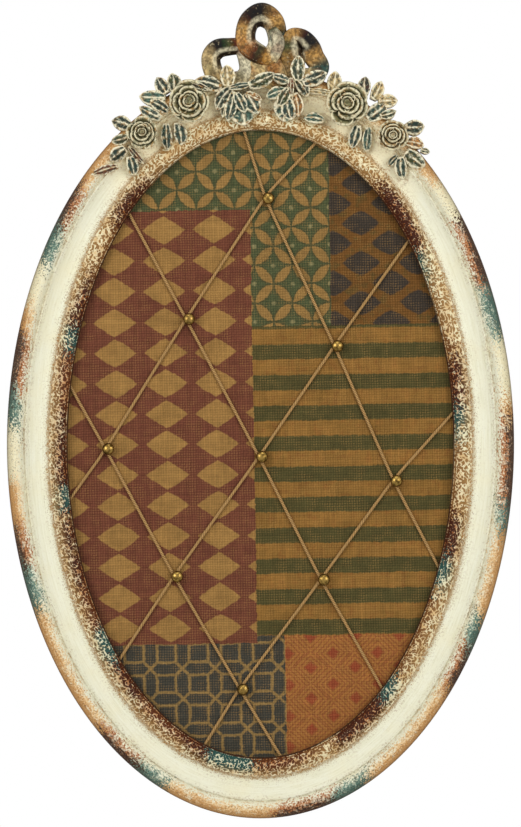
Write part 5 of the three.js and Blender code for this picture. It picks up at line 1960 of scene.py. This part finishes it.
@dataclass
class Bow:
    """The ribbon bow on top: three loops and a knot, cast in one."""

    width: float = 100.0
    height: float = 67.7
    foot: float = 284.8
    offset: float = 3.2
    depth: float = 28.0
    ribbon: float = 15.4
    thickness: float = 9.0
    # The holes' walls are painted dark as painted shade, darkest where a wall faces this way
    painted_shade_way: Vector = Vector((0.66, -0.75))
    # Middle line of each loop: share of the width, share of the height, share of the ribbon, forward, hue
    left: Sequence[tuple] = (
        (-0.428, 0.331, 1, 0, Hue.BUFF), (-0.378, 0.445, 1.02, 0.5, Hue.UMBER),
        (-0.29, 0.475, 0.92, 0.5, Hue.OLIVE),
        (-0.19, 0.468, 0.85, 0.2, Hue.RUST), (-0.148, 0.331, 0.83, -1.5, Hue.PEARL),
        (-0.148, 0.165, 0.85, -1.5, Hue.PEARL), (-0.26, 0.047, 0.9, -1, Hue.BUFF),
        (-0.388, 0.142, 1, -0.5, Hue.BUFF),
    )
    top: Sequence[tuple] = (
        (-0.02, 0.855, 1.25, 0.5, Hue.UMBER), (-0.112, 0.79, 1.1, 0.8, Hue.BROWN),
        (-0.15, 0.65, 1.05, 1.6, Hue.GOLD),
        (-0.14, 0.5, 1.08, 2.6, Hue.OCHRE), (-0.06, 0.4, 1.05, 2.8, Hue.BROWN),
        (0.028, 0.36, 0.95, 1.6, Hue.GOLD),
        (0.088, 0.47, 0.9, 0, Hue.PEARL), (0.1, 0.61, 1.0, 0, Hue.GREEN), (0.068, 0.77, 1.15, 0.2, Hue.GOLD),
    )
    right: Sequence[tuple] = (
        (0.225, 0.6, 0.85, 0.4, Hue.GOLD), (0.305, 0.58, 0.9, 0.4, Hue.BROWN),
        (0.366, 0.48, 1.0, 0, Hue.UMBER),
        (0.394, 0.36, 1.08, 0, Hue.GOLD), (0.44, 0.23, 1, 0, Hue.TEAL), (0.37, 0.12, 1, 0, Hue.BUFF),
        (0.265, 0.15, 1, 0, Hue.BUFF), (0.228, 0.32, 1.2, 1, Hue.GOLD), (0.2, 0.48, 1.18, 1.2, Hue.OLIVE),
    )
    inner: Sequence[tuple] = (
        (0.06, 0.685, 0.5, 1.0, Hue.OLIVE), (0.1, 0.591, 0.62, 2.4, Hue.PEARL),
        (0.112, 0.496, 0.68, 3.0, Hue.PEARL),
        (0.092, 0.402, 0.62, 2.6, Hue.PEARL), (0.06, 0.307, 0.5, 1.0, Hue.BUFF),
    )

    def build_loop(
        self, bm: BMesh, stops: Sequence[tuple], layers: tuple, seed: float, closed: bool = True
    ) -> None:
        """Add one loop or strand of ribbon, with painted shade on its hole's wall and its sides, and pale
        lines along its edges.

        Args:
            bm: mesh that takes it.
            stops: its middle line and colours.
            layers: glaze and panel layers of the mesh.
            seed: shifts the mottling from loop to loop.
            closed: whether it comes back to its start.
        """
        glaze, panel = layers
        values = [(*stop[:4], *linear(stop[4].value)[:3]) for stop in stops]
        line = smooth_line(values, 14, closed=closed)
        count, around = len(line), 32
        last = count if closed else count - 1
        spots = [Vector((p[0] * self.width, p[1] * self.height)) for p in line]
        middle = sum(spots, Vector((0, 0))) / count
        mottle = [hue.light() for hue in (Hue.RUST, Hue.BROWN, Hue.UMBER, Hue.OLIVE)]
        marks: dict[tuple[int, int], tuple[float, ...]] = {}

        def place(column: int, row: int) -> Vector:
            """Give a point of the ribbon's rounded section.

            Args:
                column: step round the section.
                row: step along the line.

            Returns:
                The point in the frame's metres.
            """
            here = row % count
            x, z, width, forward = line[here][:4]
            after = spots[(here + 1) % count] if closed or here < last else spots[here]
            before = spots[here - 1] if closed or here > 0 else spots[here]
            way = (after - before).normalized()
            angle = turn_at(column, around)
            across, front = math.cos(angle), math.sin(angle)
            across = math.copysign(abs(across) ** 0.75, across)
            front = math.copysign(abs(front) ** 0.75, front)
            rim = 0.5 * math.exp(-(((abs(across) - 0.78) / 0.12) ** 2)) if front > 0 else 0
            half_width = self.ribbon * width / 2
            side = Vector((way.y, -way.x)) * across
            inner_way = (middle - spots[here]).normalized()
            inward = side.dot(inner_way)
            # Painted shade: the wall of the hole is darkened where it faces the set way, and the back and
            # sides of the ribbon are darkened too
            shaded = ease(-0.3, 0.6, inner_way.dot(self.painted_shade_way))
            slope = ease(0.42, 0.8, inward) if closed and front > 0 else 0.0
            crease = 2.2 * slope * shaded
            painted_hole_shadow = ease(0.5, 0.6, inward) * shaded if closed else 0.0
            wall = max(painted_hole_shadow, 0.9 * ease(0.45, 0.1, front), 0.55 * ease(0.86, 1.0, abs(across)))
            # Partly pale paint and partly painted highlight: a pale strip beside the shaded wall, and a pale
            # inner edge on the lit side
            strip = ease(0.14, 0.26, inward) * shaded + ease(0.72, 0.84, inward) * (1 - shaded)
            pale = min(strip, 1.0) * (1 - painted_hole_shadow) if closed else 0.0
            marks[(column, row)] = (wall, rim * (1 - wall), pale)
            return at(
                self.offset + self.width * x + side.x * half_width,
                self.depth + forward + self.thickness / 2 * front - crease + rim,
                self.foot + self.height * z + side.y * half_width,
            )

        for row, verts in enumerate(grid_of(bm, around, last, place)):
            own = Vector(np.clip(line[row % count][4:7], 0.004, 1))
            for column, vert in enumerate(verts):
                wall, rim, pale = marks[(column, row)]
                spot = vert.co / (11 * MM) + Vector((seed, 0, 0))
                share = ease(0.05, 0.45, noise.noise(spot)) * 0.55
                ink = mottle[int(abs(noise.noise(spot * 0.37)) * 9) % 4]
                # The pale strip is partly painted highlight, and the umber on walls, back and sides is
                # painted shade
                base = own.lerp(ink, share).lerp(Hue.PEARL.light(), pale * 0.7)
                base = base.lerp(Hue.UMBER.light(), wall * 0.95)
                vert[glaze] = (*base, 1)
                vert[panel] = 1.0 - rim

    def build(self) -> None:
        """Make the three loops and the knot."""
        bm = bmesh.new()
        layers = carving_layers(bm)
        for seed, stops in enumerate((self.left, self.top, self.right)):
            self.build_loop(bm, stops, layers, seed * 3.7)
        self.build_loop(bm, self.inner, layers, 15.0, closed=False)
        close_up(bm, fill=True, outwards=False)
        knot = bmesh.ops.create_uvsphere(bm, u_segments=36, v_segments=20, radius=1.0)["verts"]
        for vert in knot:
            across, forward, up = vert.co
            pull = 1 + 0.1 * math.cos(5 * math.atan2(up, across))
            vert.co = at(
                self.offset + self.width * (0.03 + 0.2 * across * pull),
                self.depth - forward * 4.0,
                self.foot + self.height * (0.2 + 0.22 * up * pull),
            )
            share = ease(-0.2, 0.3, noise.noise(vert.co / (9 * MM)))
            vert[layers[0]] = (*Hue.BUFF.light().lerp(Hue.KNOT_BROWN.light(), share), 1)
            vert[layers[1]] = 1.0
        close_up(bm)
        piece("ribbon_bow", bm, BOW_GLAZE, ["crest_bow"], hollows=(6, 0.5))


# Leaves and leafy petals of each spray, in millimetres from the middle of the board
BLADES = {
    "centre": (
        Blade((-18.0, 275.2), (-12.4, 254.4), 21.6, Hue.PALE_TEAL, 0.0),
        Blade((24.4, 278.4), (18.0, 257.6), 20.8, Hue.PALE_TEAL, 0.0),
        Blade((-22.8, 281.6), (-30.4, 260.8), 8.0, Hue.TEAL, 0.3),
        Blade((-30.8, 283.5), (-52.9, 289.6), 12.0, Hue.GREEN, 0.6),
        Blade((-41.6, 282.2), (-57.8, 288.8), 5.6, Hue.BROWN, 1.2),
        Blade((-25.6, 284.4), (-27.0, 302.0), 12.4, Hue.BUFF, 1.2, True),
        Blade((-23.6, 283.6), (-35.4, 266.8), 11.6, Hue.GREEN, 1.6),
        Blade((-20.9, 280.8), (-26.4, 257.6), 10.0, Hue.TEAL, 2.2),
        Blade((30.2, 289.2), (30.4, 309.6), 12.0, Hue.OLIVE, 1.0, True),
        Blade((33.6, 287.6), (52.9, 295.5), 12.4, Hue.GREEN, 1.0, True),
        Blade((28.4, 290.8), (38.0, 277.2), 10.0, Hue.GREEN, 1.8),
        Blade((27.3, 280.0), (30.3, 261.6), 9.6, Hue.OCHRE, 2.0),
        Blade((-24.8, 283.4), (-6.8, 286.4), 5.6, Hue.TEAL, 2.2, True),
        Blade((-9.2, 285.0), (11.6, 294.8), 11.2, Hue.OLIVE, 2.6, True),
        Blade((10.0, 292.8), (23.6, 288.4), 8.0, Hue.TEAL, 2.2, True),
        Blade((24.4, 291.2), (24.8, 276.8), 5.6, Hue.RUST, 2.6, True),
        Blade((36.4, 281.6), (62.4, 277.6), 4.8, Hue.BUFF, 0.4),
        Blade((50.4, 258.8), (34.4, 260.8), 8.8, Hue.PALE_TEAL, 0.2),
    ),
    "left_inner": (
        Blade((-74.8, 280.0), (-82.8, 292.8), 11.2, Hue.GREEN, 0.6),
        Blade((-68.8, 281.6), (-70.6, 296.3), 12.0, Hue.OLIVE, 0.2),
        Blade((-75.6, 276.4), (-97.0, 277.6), 12.4, Hue.PALE_TEAL, 0.0),
        Blade((-73.6, 265.2), (-88.4, 274.0), 10.0, Hue.GREEN, 1.2),
        Blade((-75.4, 256.0), (-74.3, 234.8), 9.2, Hue.TEAL, 0.4),
        Blade((-66.3, 256.8), (-63.1, 238.8), 10.8, Hue.TEAL, 0.8),
    ),
    "left_outer": (
        Blade((-79.6, 260.0), (-96.9, 269.1), 9.6, Hue.TEAL, 0.4),
        Blade((-103.2, 253.2), (-118.8, 258.2), 12.0, Hue.GREEN, 0.6),
        Blade((-105.2, 244.8), (-119.1, 241.4), 8.8, Hue.OLIVE, 0.8),
        Blade((-107.6, 236.0), (-120.0, 226.0), 11.2, Hue.GREEN, 0.6),
        Blade((-105.2, 237.6), (-93.2, 224.0), 5.6, Hue.RUST, 0.2),
        Blade((-104.6, 229.6), (-101.0, 214.4), 10.0, Hue.TEAL, 0.8),
        Blade((-114.0, 222.0), (-135.2, 214.8), 7.2, Hue.RUST, 0.0),
    ),
    "right_inner": (
        Blade((57.6, 280.4), (60.1, 297.8), 12.0, Hue.BUFF, 0.4),
        Blade((83.3, 279.2), (83.8, 293.4), 10.8, Hue.BROWN, 0.2),
        Blade((89.6, 275.2), (96.6, 289.8), 10.4, Hue.BUFF, 0.4),
        Blade((94.0, 273.2), (109.6, 274.2), 11.2, Hue.BUFF, 0.2),
        Blade((95.6, 261.6), (108.4, 265.9), 8.0, Hue.OLIVE, 1.4),
        Blade((85.2, 259.6), (100.4, 272.0), 13.6, Hue.TEAL, 0.8),
        Blade((77.7, 254.8), (72.9, 236.4), 10.4, Hue.TEAL, 0.6),
        Blade((86.3, 252.8), (85.0, 233.2), 8.0, Hue.PALE_TEAL, 0.2),
    ),
    "right_outer": (
        Blade((115.2, 252.2), (131.1, 253.6), 12.8, Hue.GREEN, 0.4),
        Blade((116.0, 241.3), (130.6, 238.0), 9.6, Hue.OCHRE, 0.8),
        Blade((116.0, 233.6), (131.2, 221.2), 12.8, Hue.OLIVE, 0.4),
        Blade((128.0, 234.7), (135.2, 233.1), 4.8, Hue.OLIVE, 0.2),
        Blade((111.8, 229.2), (113.8, 211.6), 10.0, Hue.TEAL, 0.6),
        Blade((109.2, 230.4), (102.0, 222.0), 6.0, Hue.TEAL, 0.2),
    ),
    "bloom_left": (
        Blade((-11.2, 280.0), (-1.6, 263.6), 13.6, Hue.TEAL, 1.2),
        Blade((-19.6, 279.6), (-11.9, 264.4), 9.6, Hue.TEAL, 2.0),
        Blade((-11.6, 279.2), (1.2, 274.4), 8.0, Hue.OCHRE, 1.6),
    ),
    "bloom_right": (
        Blade((21.2, 275.2), (24.4, 258.4), 12.0, Hue.TEAL, 1.0),
        Blade((20.4, 281.6), (4.4, 276.8), 9.6, Hue.PALE_TEAL, 1.2),
        Blade((22.8, 283.2), (14.6, 269.2), 10.0, Hue.OLIVE, 2.2),
    ),
}


def crest_parts() -> list:
    """Give the crest's flowers, sprays and bow with their places.

    Returns:
        Sprays, flowers and the bow, in the order of building.
    """
    roses = [
        Rose("rose_left_inner", (-0.281, 0.909), 0.362, 0.3),
        Rose("rose_left_outer", (-0.463, 0.827), 0.272, 1.1),
        Rose("rose_right_inner", (0.341, 0.904), 0.37, 2.2),
        Rose("rose_right_outer", (0.518, 0.819), 0.264, 0.8, hue="#8a6c40"),
    ]
    sprays = []
    for rose in roses:
        key = rose.name.replace("rose_", "")
        low = (rose.radius() * 0.84,) * 2
        sprays.append(Spray(f"carved_leaves_{key}", f"leaf_spray_{key}", BLADES[key], rose.centre(), low))
    sprays += [
        Spray("carved_leaves_centre", "leaf_spray_centre", BLADES["centre"], rise=3.6),
        Spray("carved_bloom_left", "bloom_left", BLADES["bloom_left"], rise=6.2),
        Spray("carved_bloom_right", "bloom_right", BLADES["bloom_right"], rise=6.2),
    ]
    return [*sprays, *roses, Bow()]


@dataclass
class BackHardware:
    """Turn buttons, loop hangers, screws and bumpers on the wall side."""

    angles: Sequence[float] = (25, 90, 155, 205, 270, 335)
    pivot_across: float = 17.1
    width: float = 11.0
    inward: float = 15.0
    outward: float = 11.0
    head_radius: float = 3.0
    eye_radius: float = 2.3
    strap: float = 1.0
    strap_width: float = 11.0
    foot_corner: float = 2.5
    wire: float = 2.0
    # What is screwed on stands this far off the wall side
    clearance: float = 0.3
    # Loop from the middle of its bar round: share of the half width, share of the drop
    ring_shares: Sequence[Pair] = (
        (-0.7, 0), (0, 0), (0.7, 0), (0.95, 0.04), (1, 0.2), (0.98, 0.4), (0.85, 0.68), (0.58, 0.9), (0.2, 1),
        (-0.2, 1), (-0.58, 0.9), (-0.85, 0.68), (-0.98, 0.4), (-1, 0.2), (-0.95, 0.04),
    )

    def heading(self, angle: float) -> Vector:
        """Give the way outwards, square to the oval, at a pivot.

        Args:
            angle: the pivot's turn from the top, in radians.

        Returns:
            A way of length 1.
        """
        x, z = on_oval(angle, self.pivot_across)
        wide, high = SIGHT_HALF_WIDTH + self.pivot_across, SIGHT_HALF_HEIGHT + self.pivot_across
        return Vector((x / wide**2, 0, z / high**2)).normalized()

    def build_screw(self, name: str, solid: str) -> None:
        """Make a slotted pan-head screw on its solid's own place, its head on the wall side.

        Args:
            name: name of the piece.
            solid: the plain solid that it stands for.
        """
        low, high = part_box(solid)
        x, z = (low.x + high.x) / 2 / MM, (low.z + high.z) / 2 / MM
        crown, tip = -high.y / MM, -low.y / MM
        radius, shank = self.head_radius, 1.3
        around, out = 48, 12
        stem = ((radius * 0.96, crown + 1.9), (shank, crown + 2.0), (shank, tip - 2.0), (0.05, tip))
        bm = bmesh.new()

        def place(column: int, row: int) -> Vector:
            """Give a point of the head, then of the shank and its tip.

            Args:
                column: step round the section.
                row: step along the line.

            Returns:
                The point in the frame's metres.
            """
            angle = turn_at(column, around)
            if row > out:
                reach, depth = stem[row - out - 1]
            else:
                reach = row / out * radius
                slot = 0.8 * (1 - ease(0.3, 0.55, abs(reach * math.sin(angle + 0.5))))
                depth = crown + max(1.3 * (row / out) ** 3, slot)
            return at(x + reach * math.sin(angle), depth, z + reach * math.cos(angle))

        grid_of(bm, around, out + 4, place)
        close_up(bm, fill=True)
        piece(name, bm, ZINC_PLATE, [solid])

    def build_strap(self, side: str) -> None:
        """Make a hanger's strap: a flat strip that rolls round the bar of its loop.

        Args:
            side: left or right.
        """
        low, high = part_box(f"hanger_strap_{side}")
        x, foot = (low.x + high.x) / 2 / MM, low.z / MM
        bar = high.z / MM - self.eye_radius
        roll = self.eye_radius - self.strap / 2
        back = self.clearance + self.eye_radius
        path = [(z, back - roll, 0.0) for z in np.linspace(foot, bar, 15)]
        turns = [math.radians(turn) for turn in range(15, 300, 12)]
        path += [(bar + roll * math.sin(turn), back - roll * math.cos(turn), turn) for turn in turns]
        around = 28
        bm = bmesh.new()

        def place(column: int, row: int) -> Vector:
            """Give a point of the strip's section, with round corners at the foot.

            Args:
                column: step round the section.
                row: step along the line.

            Returns:
                The point in the frame's metres.
            """
            z, y, turn = path[row]
            angle = turn_at(column, around)
            wide = math.copysign(abs(math.cos(angle)) ** 0.3, math.cos(angle))
            thick = math.copysign(abs(math.sin(angle)) ** 0.3, math.sin(angle)) * self.strap / 2
            from_foot = min(z - foot, self.foot_corner) if turn == 0 else self.foot_corner
            cut = self.foot_corner - math.sqrt(self.foot_corner**2 - (self.foot_corner - from_foot) ** 2)
            half = self.strap_width / 2 - cut
            return at(x + half * wide, -(y - thick * math.cos(turn)), z + thick * math.sin(turn))

        grid_of(bm, around, len(path) - 1, place)
        close_up(bm, fill=True)
        piece(f"zinc_strap_{side}", bm, ZINC_PLATE, [f"hanger_strap_{side}"])

    def build_ring(self, side: str) -> None:
        """Make a hanger's wire loop, which swings on its bar.

        Args:
            side: left or right.
        """
        solid = f"hanger_loop_{side}"
        low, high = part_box(solid)
        x, bar = (low.x + high.x) / 2 / MM, high.z / MM - self.wire / 2
        half = (high.x - low.x) / 2 / MM - self.wire / 2
        drop = (high.z - low.z) / MM - self.wire
        line = smooth_line(self.ring_shares, 8, closed=True)
        count, around = len(line), 14
        bm = bmesh.new()

        def place(column: int, row: int) -> Vector:
            """Give a point of the wire.

            Args:
                column: step round the section.
                row: step along the line.

            Returns:
                The point in the frame's metres.
            """
            across, down = line[row % count]
            after, before = line[(row + 1) % count], line[row % count - 1]
            way = Vector(((after[0] - before[0]) * half, (before[1] - after[1]) * drop)).normalized()
            angle = turn_at(column, around)
            reach = self.wire / 2 * math.cos(angle)
            depth = -(self.clearance + self.eye_radius) + self.wire / 2 * math.sin(angle)
            return at(x + half * across + way.y * reach, depth, bar - drop * down - way.x * reach)

        grid_of(bm, around, count, place)
        close_up(bm)
        piece(f"zinc_loop_{side}", bm, ZINC_PLATE, [solid], solid)

    def build_bumper(self, side: str) -> None:
        """Make a rubber bumper with a soft edge and a shallow dimple.

        Args:
            side: left or right.
        """
        low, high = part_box(f"wall_bumper_{side}")
        radius, top = (high.x - low.x) / 2 / MM, high.y / MM
        bm = turned(
            [
                (0, -self.clearance), (radius, -self.clearance), (radius, 0.9 - top),
                (radius - 0.25, 0.35 - top), (radius - 0.8, -top), (2.6, -top), (2.2, 0.5 - top),
                (0, 0.6 - top),
            ],
            48,
        )
        bmesh.ops.translate(bm, verts=bm.verts, vec=((low.x + high.x) / 2, 0, (low.z + high.z) / 2))
        piece(f"rubber_bumper_{side}", bm, RUBBER, [f"wall_bumper_{side}"])

    def build_buttons(self) -> None:
        """Make the six turn buttons and their screws."""
        for number, degrees in enumerate(self.angles, 1):
            angle = math.radians(degrees)
            x, z = on_oval(angle, self.pivot_across)
            out = self.heading(angle)
            side = Vector((-out.z, 0, out.x))
            bm = bmesh.new()
            rim = bmesh.ops.create_circle(bm, segments=40, radius=self.width / 2, cap_ends=True)["verts"]
            for vert in rim:
                along, aside = vert.co.x, vert.co.y
                along += self.outward - self.width / 2 if along > 0 else self.width / 2 - self.inward
                spot = Vector((x, 0, z)) + out * along + side * aside
                vert.co = at(spot.x, -self.clearance, spot.z)
            face = bm.faces[:]
            made = bmesh.ops.extrude_face_region(bm, geom=face)["geom"]
            raised = [item for item in made if isinstance(item, bmesh.types.BMVert)]
            bmesh.ops.translate(bm, verts=raised, vec=(0, 1.2 * MM, 0))
            rims = [edge for edge in bm.edges if abs(edge.verts[0].co.y - edge.verts[1].co.y) < 1e-6]
            bmesh.ops.recalc_face_normals(bm, faces=bm.faces)
            bmesh.ops.bevel(
                bm, geom=rims, offset=0.3 * MM, offset_type="OFFSET", affect="EDGES",
                segments=2, profile=0.5, material=-1,
            )
            body = f"turn_button_{number}"
            piece(f"brass_turn_button_{number}", bm, BRASS_PLATE, [body], body)

    def build(self) -> None:
        """Make all the back hardware."""
        self.build_buttons()
        for number in range(1, len(self.angles) + 1):
            self.build_screw(f"pan_head_screw_{number}", f"turn_button_screw_{number}")
        for side in ("left", "right"):
            self.build_strap(side)
            self.build_ring(side)
            self.build_screw(f"strap_screw_{side}", f"hanger_screw_{side}")
            self.build_bumper(side)


@dataclass
class Studio:
    """Camera, soft boxes, background and floor, in metres."""

    distance: float = 2.6
    picture_height: float = 0.6616
    middle: float = 0.0244
    front: float = 0.022
    floor_level: float = -0.62
    floor_radius: float = 1.6
    sensor: float = 36.0
    lamp_distance: float = 1.7

    def build_camera(self) -> None:
        """Set a level camera straight in front, framed as the photograph is."""
        lens = bpy.data.cameras.new("camera")
        lens.sensor_width = self.sensor
        lens.lens = self.sensor * self.distance / self.picture_height
        camera = bpy.data.objects.new("camera", lens)
        camera.location = (0.0, -self.distance - self.front, self.middle)
        camera.rotation_euler = (math.radians(90), 0, 0)
        bpy.context.scene.collection.objects.link(camera)
        bpy.context.scene.camera = camera

    def build_box(self, name: str, azimuth: float, elevation: float, size: float, power: float) -> None:
        """Hang one soft box that faces the board.

        Args:
            name: name of the lamp.
            azimuth: degrees to the right of the front.
            elevation: degrees above the level.
            size: side of the box in metres.
            power: power in watts.
        """
        lamp = bpy.data.lights.new(name, "AREA")
        lamp.shape, lamp.size, lamp.energy = "SQUARE", size, power
        a, e = math.radians(azimuth), math.radians(elevation)
        way = Vector((math.sin(a) * math.cos(e), -math.cos(a) * math.cos(e), math.sin(e)))
        box = bpy.data.objects.new(name, lamp)
        box.location = way * self.lamp_distance
        box.rotation_euler = (-way).to_track_quat("-Z", "Y").to_euler()
        bpy.context.scene.collection.objects.link(box)

    def build_world(self) -> None:
        """Light everything evenly and show white behind the board."""
        world = bpy.data.worlds.new("white_studio")
        world.use_nodes = True
        world.node_tree.nodes.clear()
        add = partial(node, world.node_tree)
        clear = seen_rays(add)
        fill = add("Background", {"Color": (1, 1, 1, 1), "Strength": 0.38})
        white = add("Background", {"Color": (1, 1, 1, 1), "Strength": 1.0})
        mixed = add("MixShader", clear, fill, white)
        add("OutputWorld", {"Surface": mixed})
        bpy.context.scene.world = world

    def build_floor(self) -> None:
        """Lay the floor well below the board, which hangs."""
        bm = bmesh.new()
        bmesh.ops.create_circle(bm, segments=96, radius=self.floor_radius, cap_ends=True)
        bmesh.ops.translate(bm, verts=bm.verts, vec=(0, 0, self.floor_level))
        mesh = bpy.data.meshes.new("studio_floor")
        bm.to_mesh(mesh)
        bm.free()
        floor = bpy.data.objects.new("studio_floor", mesh)
        mesh.materials.append(FLOOR.material())
        bpy.context.scene.collection.objects.link(floor)

    def build(self) -> None:
        """Set up the whole studio."""
        self.build_camera()
        self.build_world()
        self.build_floor()
        self.build_box("soft_box_left", -40, 14, 0.9, 11)
        self.build_box("soft_box_right", 40, 14, 0.9, 11)
        self.build_box("soft_box_top", 0, 58, 0.9, 5.5)
        bpy.context.scene.view_settings.view_transform = "Standard"


def main() -> None:
    """Build the board, its crest, its hardware and the studio."""
    logging.basicConfig(level=logging.INFO, format="%(message)s")
    tacks = Tacks()
    lattice = TwineLattice(tacks.places)
    stretches = [pair for run in lattice.runs for pair in zip(lattice.stops(run), lattice.stops(run)[1:])]
    Studio().build()
    crest = crest_parts()
    sprays = [part for part in crest if isinstance(part, Spray)]
    roses = [part for part in crest if isinstance(part, Rose)]
    leaves = [(leaf.base, leaf.tip, leaf.width) for spray in sprays for leaf in spray.blades]
    leaves += [(rose.centre(), rose.centre(), rose.radius() * 2.3) for rose in roses]
    Moulding(leaves).build()
    Board(tacks=tacks.places, runs=stretches).build()
    tacks.build()
    lattice.build()
    for part in crest:
        part.build()
    BackHardware().build()


if __name__ == "__main__":
    main()
